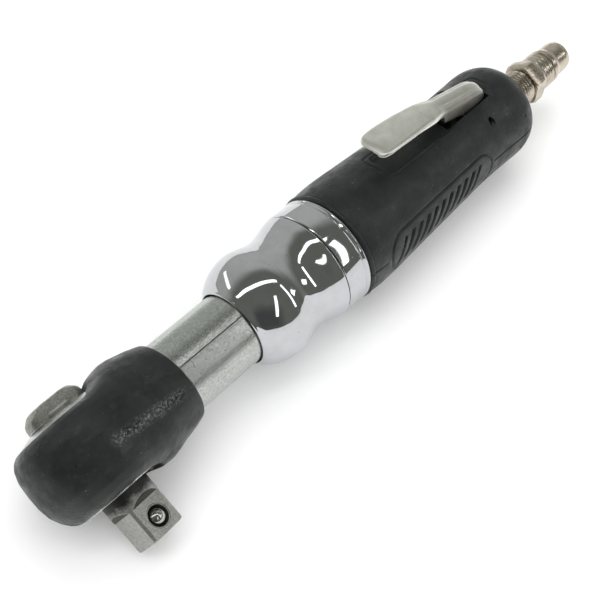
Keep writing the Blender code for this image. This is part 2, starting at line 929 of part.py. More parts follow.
def motor_housing():
    """The plated collar that shows, the tube inside the grip, and the valve chamber behind it."""
    housing = turned(
        "motor_housing",
        [
            (91.2, 16.7),
            (91.7, 17.2),
            (NUT_END + GAP, 17.2),
            (NUT_END + GAP, 20.3),
            (98.2, 20.6),
            (107.4, 20.6),
            (108.1, 20.1),
            (108.1, HOUSING_R),
            (HOUSING_END - 0.6, HOUSING_R),
            (HOUSING_END, HOUSING_R - 0.6),
        ],
        TOOL_AXIS,
        CHROME,
        bore=[
            (91.2, MOTOR_BORE_R + 0.4),
            (93.5, MOTOR_BORE_R),
            (150.4, MOTOR_BORE_R),
            (152.0, 12.0),
            (158.0, 4.6),
            (178.2, 4.6),
            (178.2, VALVE_BORE_R),
            (195.6, VALVE_BORE_R),
            (196.4, 9.1),
            (HOUSING_END, 9.1),
        ],
    )
    pin_x, pin_up = LEVER_PIN
    ears = box(
        "pin_ears",
        (-16.6, -7.1, pin_x - 5),
        (-8.0, 7.1, pin_x + 5),
        TOOL_AXIS,
        cutter=True,
    )
    slot = box(
        "lever_slot",
        (-30, -SLOT_HALF, SLOT_START),
        (-SLOT_FLOOR, SLOT_HALF, SLOT_END),
        TOOL_AXIS,
        cutter=True,
    )
    pin_hole = rod(
        "pin_hole",
        LEVER_PIN_R + GAP,
        (-pin_up, -9, pin_x),
        (-pin_up, 9, pin_x),
        TOOL_AXIS,
        cutter=True,
    )
    plunger_hole = rod(
        "plunger_hole",
        3.1,
        (-SLOT_FLOOR - 2, 0, PLUNGER_STATION),
        (-2, 0, PLUNGER_STATION),
        TOOL_AXIS,
        cutter=True,
    )
    join(housing, ears)
    for cutter in (slot, pin_hole, plunger_hole):
        cut(housing, cutter)


def grip_sleeve():
    """The rubber grip, with the recess that the lever closes into."""
    inner = HOUSING_R + GAP
    grip = turned(
        "grip_sleeve",
        [
            (GRIP_START, 20.4),
            (108.7, 21.1),
            (109.5, 21.3),
            (110.0, 20.9),
            (119.0, 21.4),
            (132.0, 20.8),
            (152.0, 19.8),
            (170.0, 19.0),
            (184.0, 18.6),
            (199.0, 19.0),
            (205.0, 18.5),
            (209.0, 17.1),
            (GRIP_END, 14.0),
        ],
        TOOL_AXIS,
        RUBBER,
        bore=[
            (GRIP_START, inner),
            (HOUSING_END + GAP, inner),
            (HOUSING_END + GAP, 13.2),
            (GRIP_END, 13.2),
        ],
    )
    pin_x, pin_up = LEVER_PIN
    shallow = box("grip_recess", (-30, -6.4, 134.0), (-18.1, 6.4, 195.0), TOOL_AXIS, cutter=True)
    deep = box(
        "grip_slot",
        (-30, -SLOT_HALF, SLOT_START),
        (-8, SLOT_HALF, SLOT_END),
        TOOL_AXIS,
        cutter=True,
    )
    ear_room = box(
        "ear_room",
        (-17.0, -7.5, pin_x - 5.4),
        (-8, 7.5, pin_x + 5.4),
        TOOL_AXIS,
        cutter=True,
    )
    pin_hole = rod(
        "grip_pin_hole",
        2.3,
        (-pin_up, -30, pin_x),
        (-pin_up, 30, pin_x),
        TOOL_AXIS,
        steps=18,
        cutter=True,
    )
    for cutter in (shallow, deep, ear_room, pin_hole):
        cut(grip, cutter)


LEVER_SHEET = 1.4
# Down the lever: station, height of its top, half width, how far its sides turn down, crown
LEVER_OUTLINE = [
    (131.0, 31.6, 4.2, 0.0, 0.1),
    (131.5, 32.4, 5.6, 0.0, 0.2),
    (133.2, 33.1, 6.4, 0.0, 0.5),
    (137.0, 33.5, 6.6, 0.0, 0.8),
    (150.0, 32.3, 6.3, 0.0, 1.1),
    (158.0, 31.4, 5.9, 0.2, 1.2),
    (163.0, 30.6, 4.9, 1.8, 1.4),
    (166.0, 29.9, 4.3, 4.6, 1.6),
    (170.0, 29.1, 4.3, 6.6, 1.6),
    (180.0, 26.8, 4.3, 6.8, 1.6),
    (181.6, 26.4, 4.3, 11.6, 1.6),
    (184.0, 25.9, 4.3, 14.0, 1.6),
    (187.0, 25.0, 4.3, 13.2, 1.6),
    (189.6, 23.6, 4.3, 9.4, 1.6),
    (190.8, 21.6, 4.0, 5.4, 1.4),
]
# Half of a section across it: part of the half width, part of the crown
LEVER_SECTION = [(0, 0), (0.45, 0.2), (0.8, 0.65), (1.0, 1.25)]


def throttle_lever():
    """A pressed sheet: a channel over the pin that opens into a crowned thumb paddle."""
    shape = bmesh.new()
    rows = []
    for station, top, half, drop, crown in LEVER_OUTLINE:
        half -= LEVER_SHEET / 2
        top -= LEVER_SHEET / 2
        section = [(half * y, top - crown * z) for y, z in LEVER_SECTION]
        section.append((half + 0.001, min(top - crown * 1.5, top - drop)))
        both = [(-y, z) for y, z in reversed(section)] + section[1:]
        rows.append([shape.verts.new((-z * MM, y * MM, station * MM)) for y, z in both])
    for first, second in zip(rows, rows[1:]):
        for a, b, c, d in zip(first, first[1:], second[1:], second):
            shape.faces.new((a, b, c, d))
    lever = add("throttle_lever", finish_mesh("throttle_lever", shape), TOOL_AXIS, NICKEL)
    sheet = lever.modifiers.new("sheet", "SOLIDIFY")
    sheet.thickness = LEVER_SHEET * MM
    sheet.offset = 0
    sheet.use_even_offset = False
    pin_x, pin_up = LEVER_PIN
    hole = rod(
        "lever_pin_hole",
        LEVER_PIN_R + GAP,
        (-pin_up, -9, pin_x),
        (-pin_up, 9, pin_x),
        TOOL_AXIS,
        cutter=True,
    )
    cut(lever, hole)
    hang_on(lever, "lever_pivot", TOOL_AXIS, (-pin_up, 0, pin_x))
    start, end = (-pin_up, -7.9, pin_x), (-pin_up, 7.9, pin_x)
    rod("lever_pin", LEVER_PIN_R, start, end, TOOL_AXIS, BRIGHT_STEEL)


def throttle_valve():
    """The pin that the lever presses, and the tilting valve that it tips off its seat."""
    x = PLUNGER_STATION
    bushing = turned(
        "plunger_bushing",
        [(5.0, 2.8), (SLOT_FLOOR, 2.8), (SLOT_FLOOR, 4.0), (SLOT_FLOOR + 1.2, 4.0)],
        PLUNGER_AXIS,
        BRONZE,
        bore=[(5.0, 2.05), (SLOT_FLOOR + 1.2, 2.05)],
        steps=SMALL,
    )
    bushing.location.z = GAP * MM
    turned(
        "throttle_plunger",
        [(1.6, 1.4), (2.0, 1.8), (25.4, 1.8), (26.4, 1.2)],
        PLUNGER_AXIS,
        BRIGHT_STEEL,
        steps=SMALL,
    )
    valve = turned(
        "tilt_valve",
        [
            (x - 1.5, 0.9),
            (x - 1.0, 1.2),
            (182.8, 1.2),
            (182.8, 5.3),
            (184.6, 5.3),
            (185.2, 4.6),
        ],
        TOOL_AXIS,
        BRIGHT_STEEL,
        steps=SMALL,
    )
    hang_on(valve, "valve_pivot", TOOL_AXIS, (-5.3, 0, 182.8))
    turned(
        "valve_seat",
        [(178.6, VALVE_BORE_R - GAP), (182.5, VALVE_BORE_R - GAP)],
        TOOL_AXIS,
        SEAL,
        bore=[(178.6, 3.4), (182.5, 3.4)],
        steps=SMALL,
    )
    coil("valve_spring", 3.4, 0.45, 4, (0, 0, 185.5), (0, 0, 196.0), TOOL_AXIS, BRIGHT_STEEL)


# The air inlet


def air_inlet():
    turned(
        "inlet_bushing",
        [
            (196.7, 8.7),
            (HOUSING_END + 0.4, 8.7),
            (HOUSING_END + 0.4, 9.3),
            (215.6, 9.3),
            (216.2, 8.7),
        ],
        TOOL_AXIS,
        NICKEL,
        bore=[(196.7, 4.0), (200.4, 4.0), (200.4, 6.9), (216.2, 7.1)],
        steps=MEDIUM,
    )
    deflector = turned(
        "exhaust_deflector",
        [(HOUSING_END + 0.6, 12.9), (211.3, 12.9), (211.8, 12.4)],
        TOOL_AXIS,
        BRIGHT_STEEL,
        bore=[(HOUSING_END + 0.6, 9.6), (208.2, 9.6), (208.2, 11.8), (211.8, 11.8)],
        steps=MEDIUM,
    )
    for i in range(8):
        x, y = polar(10.7, 9 + 45 * i)
        vent = rod(
            f"exhaust_vent_{i + 1}",
            0.75,
            (x, y, 200),
            (x, y, 215),
            TOOL_AXIS,
            steps=8,
            cutter=True,
        )
        cut(deflector, vent)
    rod("inlet_screen", 3.7, (0, 0, 197.2), (0, 0, 198.2), TOOL_AXIS, BRONZE, steps=SMALL)


def coupler_plug():
    """The quick-coupler plug: pipe thread, hexagon, waist, locking groove and nose."""
    thread = []
    for i in range(9):
        start = 205.4 + i * 2.1
        thread += [(start, 6.1), (start + 1.05, 6.7)]
    plug = turned(
        "coupler_plug",
        thread
        + [
            (224.4, 6.1),
            (224.9, 6.1),
            (225.3, 7.3),
            (231.4, 7.5),
            (232.8, 7.2),
            (238.4, 7.2),
            (238.7, 6.7),
            (239.3, 6.7),
            (239.6, 7.2),
            (241.4, 7.1),
            (243.6, 6.4),
            (246.0, 6.4),
            (PLUG_END - 2.7, 6.5),
            (PLUG_END - 0.7, 6.1),
            (PLUG_END, 5.4),
        ],
        TOOL_AXIS,
        NICKEL,
        bore=[(205.4, 3.75), (PLUG_END - 0.5, 3.75), (PLUG_END, 4.2)],
        steps=MEDIUM,
    )
    hexagon = turned(
        "plug_hexagon",
        [(225.1, 8.2), (225.8, 8.9), (229.8, 8.9), (231.0, 8.0)],
        TOOL_AXIS,
        steps=6,
        cutter=True,
    )
    core = rod("plug_hexagon_core", 5.0, (0, 0, 215), (0, 0, 240), TOOL_AXIS, cutter=True)
    cut(hexagon, core)
    join(plug, hexagon)


# The whole tool


def stand_on_ground():
    """Moves the tool so that its box stands on Z = 0 with its centre over the origin."""
    bpy.context.view_layer.update()
    graph = bpy.context.evaluated_depsgraph_get()
    points = []
    for obj in PARTS.objects:
        if obj.type != "MESH":
            continue
        placed = obj.evaluated_get(graph)
        points += [placed.matrix_world @ vertex.co for vertex in placed.data.vertices]
    low = Vector([min(point[i] for point in points) for i in range(3)])
    high = Vector([max(point[i] for point in points) for i in range(3)])
    middle = (low + high) / 2
    TOOL.location = (-middle.x, -middle.y, -low.z)


PLUNGER_AXIS = empty("plunger_axis", TOOL, location=(PLUNGER_STATION, 0, 0))

ratchet_housing()
head_boot()
detent(*drive_anvil())
retaining_ring()
head_washers()
reverse_knob()
pawl_parts()
ratchet_yoke()
crankshaft()
planet_gears()
ring_gear()
crank_bearing()
clamp_nut()
end_plates_and_bearings()
air_cylinder()
rotor_and_vanes()
motor_housing()
grip_sleeve()
throttle_lever()
throttle_valve()
air_inlet()
coupler_plug()
stand_on_ground()
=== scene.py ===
"""Looks for the air ratchet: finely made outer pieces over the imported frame, their materials,
a pale studio and the camera. Shapes are given in millimetres along the tool axis or the head
axis, as in the CAD source, and are placed in the frame by the matrices TOOL, AXIS and HEAD."""

import math

import bmesh
import bpy
import numpy as np
from mathutils import Matrix, Vector


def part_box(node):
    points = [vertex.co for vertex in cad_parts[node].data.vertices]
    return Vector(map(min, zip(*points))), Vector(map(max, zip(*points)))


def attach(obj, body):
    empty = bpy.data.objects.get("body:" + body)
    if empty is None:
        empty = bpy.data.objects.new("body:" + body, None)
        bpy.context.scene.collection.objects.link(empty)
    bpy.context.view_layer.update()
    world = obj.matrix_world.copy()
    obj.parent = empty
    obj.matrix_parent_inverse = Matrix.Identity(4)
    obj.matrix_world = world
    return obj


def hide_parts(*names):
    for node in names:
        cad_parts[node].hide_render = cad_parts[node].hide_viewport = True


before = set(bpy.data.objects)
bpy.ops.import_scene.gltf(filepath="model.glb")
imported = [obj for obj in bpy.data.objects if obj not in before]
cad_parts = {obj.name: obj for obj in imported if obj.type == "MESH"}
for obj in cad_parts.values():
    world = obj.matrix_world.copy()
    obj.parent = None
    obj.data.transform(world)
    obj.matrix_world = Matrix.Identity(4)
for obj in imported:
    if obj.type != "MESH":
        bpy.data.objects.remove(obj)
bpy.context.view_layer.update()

MM = 0.001
nut_low, nut_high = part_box("clamp_nut")
NUT_START = 61.7
ORIGIN = Vector((
    nut_low.x - NUT_START * MM,
    (nut_low.y + nut_high.y) / 2,
    (nut_low.z + nut_high.z) / 2,
))
SCALE = Matrix.Scale(MM, 4)
TOOL = Matrix.Translation(ORIGIN) @ SCALE
AXIS = TOOL @ Matrix.Rotation(math.radians(90), 4, "Y")  # its Z runs along the tool, -X is up
HEAD_TURN = math.radians(118)
HEAD = TOOL @ Matrix.Rotation(HEAD_TURN, 4, "X")  # its Z runs along the square drive
LEVER_PIN = (186.3, 14.2)  # station and height of the pin that the lever turns on
GRIP_START = 108.4


# Shapes


def polar(radius, degrees):
    return radius * math.cos(math.radians(degrees)), radius * math.sin(math.radians(degrees))


def rounded(points, closed=True, steps=5):
    """Corners (x, y, radius) of an outline, with each corner rounded by its radius."""
    made = []
    count = len(points)
    for i, (x, y, radius) in enumerate(points):
        corner = Vector((x, y))
        if radius == 0 or (not closed and i in (0, count - 1)):
            made.append(tuple(corner))
            continue
        before = Vector(points[i - 1][:2]) - corner
        after = Vector(points[(i + 1) % count][:2]) - corner
        half = before.angle(after) / 2
        back = min(radius / math.tan(half), 0.48 * before.length, 0.48 * after.length)
        start = corner + before.normalized() * back
        end = corner + after.normalized() * back
        for k in range(steps + 1):
            t = k / steps
            made.append(tuple((1 - t) ** 2 * start + 2 * t * (1 - t) * corner + t * t * end))
    return made


def spline(points, steps=8):
    """A smooth curve through the points."""
    ends = [points[0]] + list(points) + [points[-1]]
    made = []
    for p0, p1, p2, p3 in zip(ends, ends[1:], ends[2:], ends[3:]):
        p0, p1, p2, p3 = (np.array(p, float) for p in (p0, p1, p2, p3))
        for k in range(steps):
            t = k / steps
            made.append(tuple(
                0.5 * (2 * p1 + (p2 - p0) * t + (2 * p0 - 5 * p1 + 4 * p2 - p3) * t**2
                       + (3 * p1 - p0 - 3 * p2 + p3) * t**3)
            ))
    return made + [tuple(points[-1])]


def revolved(outline, segments=128, turn=0.0):
    """A turned solid from a closed outline of (along, radius)."""
    shape = bmesh.new()
    rings = []
    for along, radius in outline:
        if radius < 1e-6:
            rings.append([shape.verts.new((0, 0, along))])
            continue
        angles = [turn + 360 * i / segments for i in range(segments)]
        rings.append([shape.verts.new((*polar(radius, a), along)) for a in angles])
    for first, second in zip(rings, rings[1:] + rings[:1]):
        for i in range(segments):
            j = (i + 1) % segments
            corners = [first[i % len(first)], first[j % len(first)],
                       second[j % len(second)], second[i % len(second)]]
            unique = list(dict.fromkeys(corners))
            if len(unique) > 2:
                shape.faces.new(unique)
    bmesh.ops.recalc_face_normals(shape, faces=shape.faces)
    return shape


def slab(outline, low, high):
    """An outline in the plane given a thickness along Z."""
    shape = bmesh.new()
    bottom = shape.faces.new([shape.verts.new((x, y, low)) for x, y in outline])
    top = bmesh.ops.extrude_face_region(shape, geom=[bottom])["geom"]
    lifted = [v for v in top if isinstance(v, bmesh.types.BMVert)]
    bmesh.ops.translate(shape, vec=(0, 0, high - low), verts=lifted)
    bmesh.ops.recalc_face_normals(shape, faces=shape.faces)
    return shape


def bar(radius, start, end, segments=48):
    """A round bar between two points."""
    start, end = Vector(start), Vector(end)
    shape = bmesh.new()
    bmesh.ops.create_cone(
        shape, cap_ends=True, segments=segments, radius1=radius, radius2=radius,
        depth=(end - start).length,
    )
    turn = Vector((0, 0, 1)).rotation_difference(end - start).to_matrix().to_4x4()
    place = Matrix.Translation((start + end) / 2) @ turn
    bmesh.ops.transform(shape, matrix=place, verts=shape.verts)
    return shape


def block(low, high):
    low, high = Vector(low), Vector(high)
    shape = bmesh.new()
    bmesh.ops.create_cube(shape, size=1)
    place = Matrix.Translation((low + high) / 2) @ Matrix.Diagonal((*(high - low), 1))
    bmesh.ops.transform(shape, matrix=place, verts=shape.verts)
    return shape


def placed(name, shape, matrix):
    bmesh.ops.transform(shape, matrix=matrix, verts=shape.verts)
    mesh = bpy.data.meshes.new(name)
    shape.to_mesh(mesh)
    shape.free()
    obj = bpy.data.objects.new(name, mesh)
    bpy.context.scene.collection.objects.link(obj)
    return obj


def bake(obj):
    """Makes the object's modifiers part of its mesh."""
    bpy.context.view_layer.update()
    graph = bpy.context.evaluated_depsgraph_get()
    mesh = bpy.data.meshes.new_from_object(obj.evaluated_get(graph))
    obj.modifiers.clear()
    obj.data = mesh


def combine(obj, *changes):
    """Boolean changes in turn, each (operation, shape, matrix that places the shape)."""
    others = []
    for operation, shape, matrix in changes:
        other = placed("tool_" + obj.name, shape, matrix)
        change = obj.modifiers.new("change", "BOOLEAN")
        change.operation = operation
        change.object = other
        others.append(other)
    bake(obj)
    for other in others:
        bpy.data.objects.remove(other)
    return obj


def soften(obj, width, segments=2, angle=32):
    """Breaks the sharp edges."""
    bevel = obj.modifiers.new("edges", "BEVEL")
    bevel.width = width * MM
    bevel.segments = segments
    bevel.limit_method = "ANGLE"
    bevel.angle_limit = math.radians(angle)
    bevel.use_clamp_overlap = True
    bevel.harden_normals = False
    bake(obj)
    return obj


def finished(obj, look, body, stands_for, sharp=35):
    """Shades a piece, gives it its material, and hangs it on its body."""
    obj.data.materials.clear()
    obj.data.materials.append(look)
    obj.data.shade_smooth()
    obj.data.set_sharp_from_angle(angle=math.radians(sharp))
    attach(obj, body)
    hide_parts(stands_for)
    return obj


# Materials


def add_node(tree, kind, inputs=None, **settings):
    """A shader node, with its settings and with each input either linked or set."""
    made = tree.nodes.new("ShaderNode" + kind)
    for key, value in settings.items():
        setattr(made, key, value)
    for key, value in (inputs or {}).items():
        if isinstance(value, bpy.types.NodeSocket):
            tree.links.new(value, made.inputs[key])
        else:
            made.inputs[key].default_value = value
    return made


class Look:
    """A material under construction: short calls for the nodes that it is made of."""

    def __init__(self, name, metallic=0.0, **constants):
        self.material = bpy.data.materials.new(name)
        self.material.use_nodes = True
        self.tree = self.material.node_tree
        self.shader = self.tree.nodes["Principled BSDF"]
        self.shader.inputs["Metallic"].default_value = metallic
        for key, value in constants.items():
            self.shader.inputs[key.replace("_", " ")].default_value = value
        self.coordinates = add_node(self.tree, "TexCoord").outputs["Object"]
        self.bumps = []

    def stretched(self, scale):
        mapping = add_node(self.tree, "Mapping", {"Vector": self.coordinates, "Scale": scale})
        return mapping.outputs["Vector"]

    def noise(self, size, detail=4.0, roughness=0.55, stretch=None, distortion=0.0):
        """Cloudy noise whose patches are about size millimetres across."""
        vector = self.stretched(stretch) if stretch else self.coordinates
        made = add_node(self.tree, "TexNoise", {
            "Vector": vector, "Scale": 1 / (size * MM), "Detail": detail,
            "Roughness": roughness, "Distortion": distortion,
        })
        return made.outputs["Fac"]

    def specks(self, size, share, stretch=None):
        """Small round marks, about size apart, each covering a share of its cell."""
        vector = self.stretched(stretch) if stretch else self.coordinates
        cells = add_node(self.tree, "TexVoronoi", {"Vector": vector, "Scale": 1 / (size * MM)})
        return self.span(cells.outputs["Distance"], share, share * 0.55)

    def span(self, value, low, high, to_low=0.0, to_high=1.0):
        made = add_node(self.tree, "MapRange", {
            "Value": value, "From Min": low, "From Max": high,
            "To Min": to_low, "To Max": to_high,
        })
        return made.outputs["Result"]

    def math(self, operation, first, second):
        return add_node(self.tree, "Math", {0: first, 1: second}, operation=operation).outputs[0]

    def mix(self, factor, first, second):
        """A colour between two, each a tuple or another colour socket."""
        first, second = ((*c, 1) if isinstance(c, tuple) else c for c in (first, second))
        made = add_node(self.tree, "Mix", {0: factor, 6: first, 7: second}, data_type="RGBA")
        return made.outputs[2]

    def from_origin(self):
        """The point's place from the tool's origin, in metres."""
        return add_node(self.tree, "VectorMath", {0: self.coordinates, 1: ORIGIN},
                        operation="SUBTRACT").outputs[0]

    def dot(self, vector, direction):
        return add_node(self.tree, "VectorMath", {0: vector, 1: direction},
                        operation="DOT_PRODUCT").outputs["Value"]

    def from_line(self, start, end):
        """Distance, in metres, from a line between two points given in the tool's millimetres."""
        start, end = TOOL @ Vector(start), TOOL @ Vector(end)
        run = end - start
        offset = add_node(self.tree, "VectorMath", {0: self.coordinates, 1: start},
                          operation="SUBTRACT").outputs[0]
        reach = self.span(self.dot(offset, run / run.length_squared), 0, 1)
        nearest = add_node(self.tree, "VectorMath", {0: run, 3: reach}, operation="SCALE").outputs[0]
        gap = add_node(self.tree, "VectorMath", {0: offset, 1: nearest}, operation="DISTANCE")
        return gap.outputs["Value"]

    def normal(self):
        return add_node(self.tree, "NewGeometry").outputs["Normal"]

    def edges(self, width):
        """1 on edges, 0 on flats, found by how far a rounded normal leans from the real one."""
        round_normal = add_node(self.tree, "Bevel", {"Radius": width * MM}, samples=8).outputs[0]
        return self.span(self.dot(round_normal, self.normal()), 0.995, 0.86)

    def bump(self, height, depth):
        """Adds relief; depth is in millimetres."""
        self.bumps.append((height, depth))

    def done(self, color, roughness):
        for key, value in (("Base Color", color), ("Roughness", roughness)):
            if isinstance(value, bpy.types.NodeSocket):
                self.tree.links.new(value, self.shader.inputs[key])
            else:
                self.shader.inputs[key].default_value = value
        normal = None
        for height, depth in self.bumps:
            inputs = {"Height": height, "Distance": depth * MM, "Strength": 1.0}
            if normal:
                inputs["Normal"] = normal
            normal = add_node(self.tree, "Bump", inputs).outputs["Normal"]
        if normal:
            self.tree.links.new(normal, self.shader.inputs["Normal"])
        return self.material


def rubber_look(name, smudges, gloss_and_glint_line=None):
    """Black moulded rubber: handled smooth in patches, dusty in others, with small nicks.

    The line between two points is rubbed shiny, and the pale flecks along it are a painted highlight.
    """
    look = Look(name, Specular_IOR_Level=0.42)
    clouds = look.noise(9, 5, 0.6)
    smear = look.noise(5, 6, 0.7, stretch=(0.5, 1.2, 1.2), distortion=0.4)
    color = look.mix(look.span(clouds, 0.35, 0.7), (0.007, 0.0085, 0.009), (0.014, 0.0165, 0.0165))
    dust = look.span(smear, 0.54, 0.76, 0.0, smudges)
    color = look.mix(dust, color, (0.045, 0.049, 0.047))
    specks = look.math("MULTIPLY", look.specks(2.6, 0.09), look.span(clouds, 0.45, 0.6, 0, 0.7))
    color = look.mix(specks, color, (0.15, 0.15, 0.145))
    gloss = look.span(look.noise(6, 5, 0.65), 0.38, 0.66, 0.56, 0.27)
    gloss = look.math("SUBTRACT", gloss, look.math("MULTIPLY", dust, 0.2))
    if gloss_and_glint_line:
        rub_and_glint_band = look.span(look.from_line(*gloss_and_glint_line), 2.6 * MM, 0.4 * MM)
        glint_fleck = look.span(look.noise(0.8, 5, 0.75), 0.50, 0.62)
        # Painted highlight: the pale flecks along the line stand for light glinting down the boot's
        # valley.
        marks = look.math("MULTIPLY", rub_and_glint_band, glint_fleck)
        color = look.mix(look.math("MULTIPLY", marks, 0.7), color, (0.20, 0.205, 0.20))
        gloss = look.math("SUBTRACT", gloss, look.math("MULTIPLY", rub_and_glint_band, 0.2))
    look.bump(look.noise(0.8, 3, 0.65), 0.07)
    look.bump(look.noise(4, 3, 0.5), 0.2)
    look.bump(look.specks(3.7, 0.13), -0.1)
    return look.done(color, gloss)


def satin_look():
    """Satin plating on the neck: bright grains, faintly drawn out along it."""
    look = Look("satin_plating", 1.0)
    grain = look.noise(0.5, 3, 0.75, stretch=(0.7, 1, 1))
    clouds = look.noise(8, 4, 0.6)
    color = look.mix(look.span(grain, 0.35, 0.65), (0.33, 0.345, 0.33), (0.60, 0.62, 0.60))
    color = look.mix(look.span(clouds, 0.45, 0.75, 0, 0.3), color, (0.36, 0.37, 0.34))
    rough = look.span(grain, 0.3, 0.7, 0.30, 0.17)
    look.bump(grain, 0.055)
    look.bump(look.noise(0.25, 1, 0.5, stretch=(0.08, 1, 1)), 0.012)
    return look.done(color, rough)


def chrome_look():
    """Bright plating with faint waves, a few pits and fine handling marks."""
    look = Look("bright_plating", 1.0)
    pits = look.math("MULTIPLY", look.specks(2.0, 0.12), look.span(look.noise(9), 0.48, 0.60))
    haze = look.span(look.noise(6, 5, 0.65), 0.4, 0.75)
    color = look.mix(haze, (0.565, 0.57, 0.595), (0.50, 0.505, 0.515))
    color = look.mix(pits, color, (0.20, 0.18, 0.15))
    rough = look.math("ADD", look.span(haze, 0, 1, 0.025, 0.075), look.math("MULTIPLY", pits, 0.4))
    look.bump(look.noise(7, 2, 0.5), 0.03)
    look.bump(look.noise(0.4, 3, 0.5), 0.0016)
    return look.done(color, rough)


def worn_steel_look(name, dark, light, oil_and_shade, edge_width=0.45):
    """Dark oiled steel: bright on its worn edges, oily black by the boot, and darkened by painted shade
    on the milled shoulder facets.

    The number after the two colours, from 0 to 1, sets how strong both the oily black and the painted
    shade are.
    """
    look = Look(name, 0.9)
    grain = look.noise(0.6, 4, 0.7)
    clouds = look.noise(4, 5, 0.65)
    color = look.mix(look.span(grain, 0.3, 0.72), dark, light)
    drive = HEAD.to_3x3().normalized() @ Vector((0, 0, 1))
    height = look.dot(look.coordinates, drive)
    base = ORIGIN.dot(drive)
    low = look.span(height, base + 21.5 * MM, base + 16.0 * MM)
    patches = look.span(look.math("ADD", clouds, low), 0.60, 1.05, 0, oil_and_shade)
    color = look.mix(patches, color, (0.012, 0.012, 0.010))
    # Painted shade: the milled shoulder facets that face along the drive are darkened by which way they
    # face.
    lean = look.dot(look.normal(), drive)
    facing = look.math("MULTIPLY", look.span(lean, 0.40, 0.60, 0, oil_and_shade), look.span(lean, 0.95, 0.85))
    shoulder = look.math("MULTIPLY", facing, look.span(height, base + 23.2 * MM, base + 22.6 * MM))
    color = look.mix(shoulder, color, (0.02, 0.02, 0.018))
    worn = look.math("MULTIPLY", look.edges(edge_width), look.span(look.noise(1.6, 4, 0.7), 0.3, 0.55))
    color = look.mix(worn, color, (0.68, 0.67, 0.64))
    rough = look.span(grain, 0.3, 0.7, 0.52, 0.36)
    look.bump(grain, 0.05)
    look.bump(look.noise(0.18, 2, 0.6, stretch=(1, 0.3, 1)), 0.01)
    return look.done(color, rough)


def thread_painted_shade(look):
    """Painted shade in the air plug's thread and in its locking groove, darker where they are deeper."""
    place = look.from_origin()
    across = add_node(look.tree, "VectorMath", {0: place, 1: (0, 1, 1)}, operation="MULTIPLY").outputs[0]
    radius = add_node(look.tree, "VectorMath", {0: across}, operation="LENGTH").outputs["Value"]
    deep = look.span(radius, 6.80 * MM, 6.25 * MM, 0, 0.85)
    return look.math("MULTIPLY", deep, look.span(look.dot(place, (1, 0, 0)), 240.5 * MM, 240 * MM))


def channel_painted_shade(look):
    """Painted shade on the lever's channel: a little on its top, most of all down its walls."""
    place = look.from_origin()
    side = add_node(look.tree, "Math", {0: look.dot(place, (0, 1, 0))}, operation="ABSOLUTE").outputs[0]
    walls = look.span(side, 3.3 * MM, 4.1 * MM, 0.22, 0.85)
    return look.math("MULTIPLY", walls, look.span(look.dot(place, (1, 0, 0)), 160 * MM, 168 * MM))


def plated_look(name, base, stain, grain_size=0.35, rough=(0.22, 0.36), stretch=None, painted_shade=None):
    """Nickel plating, a little tarnished, with fine turning or rolling marks."""
    look = Look(name, 1.0)
    grain = look.noise(grain_size, 3, 0.6, stretch=stretch)
    clouds = look.noise(5, 5, 0.65)
    color = look.mix(look.span(clouds, 0.35, 0.7), base, stain)
    color = look.mix(look.math("MULTIPLY", look.specks(1.5, 0.14), look.span(clouds, 0.5, 0.6)),
                     color, (0.12, 0.09, 0.06))
    # Painted shade, where a mask is given: the plating is darkened there.
    if painted_shade:
        color = look.mix(painted_shade(look), color, (0.13, 0.12, 0.10))
    worn = look.edges(0.3)
    color = look.mix(look.math("MULTIPLY", worn, 0.4), color, (0.78, 0.77, 0.73))
    look.bump(grain, 0.004)
    look.bump(look.noise(2.5, 3, 0.5), 0.005)
    return look.done(color, look.span(clouds, 0.3, 0.7, *rough))


def machined_look(name, base, darker, lines):
    """A machined inner surface: fine marks and a film of grease."""
    look = Look(name, 1.0)
    grain = look.noise(0.3, 3, 0.6, stretch=lines)
    color = look.mix(look.span(grain, 0.3, 0.7), darker, base)
    grease = look.span(look.noise(3, 4, 0.6), 0.5, 0.7, 0, 0.4)
    color = look.mix(grease, color, tuple(0.5 * c for c in darker))
    look.bump(grain, 0.01)
    return look.done(color, look.span(grain, 0.3, 0.7, 0.34, 0.22))


def fibre_look():
    """Brown laminated sheet, layered across the tool."""
    look = Look("laminated_fibre")
    layers = look.noise(0.25, 3, 0.7, stretch=(0.15, 1, 1))
    color = look.mix(look.span(layers, 0.3, 0.7), (0.10, 0.045, 0.02), (0.24, 0.12, 0.055))
    look.bump(layers, 0.02)
    return look.done(color, 0.6)


# The boot's valley line: rubbed glossier, with pale flecks along it as a painted highlight.
BOOT_GLOSS_AND_GLINT_LINE = ((3.0, -13.3, 17.6), (28.2, -12.3, 11.2))
BOOT = rubber_look("boot_rubber", 0.4, BOOT_GLOSS_AND_GLINT_LINE)
GRIP = rubber_look("grip_rubber", 0.16)
SATIN = satin_look()
CHROME = chrome_look()
DRIVE = worn_steel_look("drive_steel", (0.25, 0.25, 0.235), (0.52, 0.52, 0.49), 0.9, 0.6)
KNOB = worn_steel_look("knob_steel", (0.17, 0.17, 0.155), (0.40, 0.40, 0.37), 0.0, 1.0)
# The lever's channel gets painted shade.
LEVER = plated_look("lever_plate", (0.86, 0.86, 0.81), (0.72, 0.71, 0.655), 0.3, (0.28, 0.40),
                    (0.4, 1, 1), channel_painted_shade)
# The plug's thread and groove get painted shade.
PLUG = plated_look("plug_plate", (0.62, 0.555, 0.475), (0.44, 0.385, 0.30), 0.25, (0.20, 0.30),
                   (3, 0.4, 0.4), thread_painted_shade)
BALL = plated_look("ball_steel", (0.50, 0.50, 0.47), (0.36, 0.355, 0.32), 0.25, (0.12, 0.22))
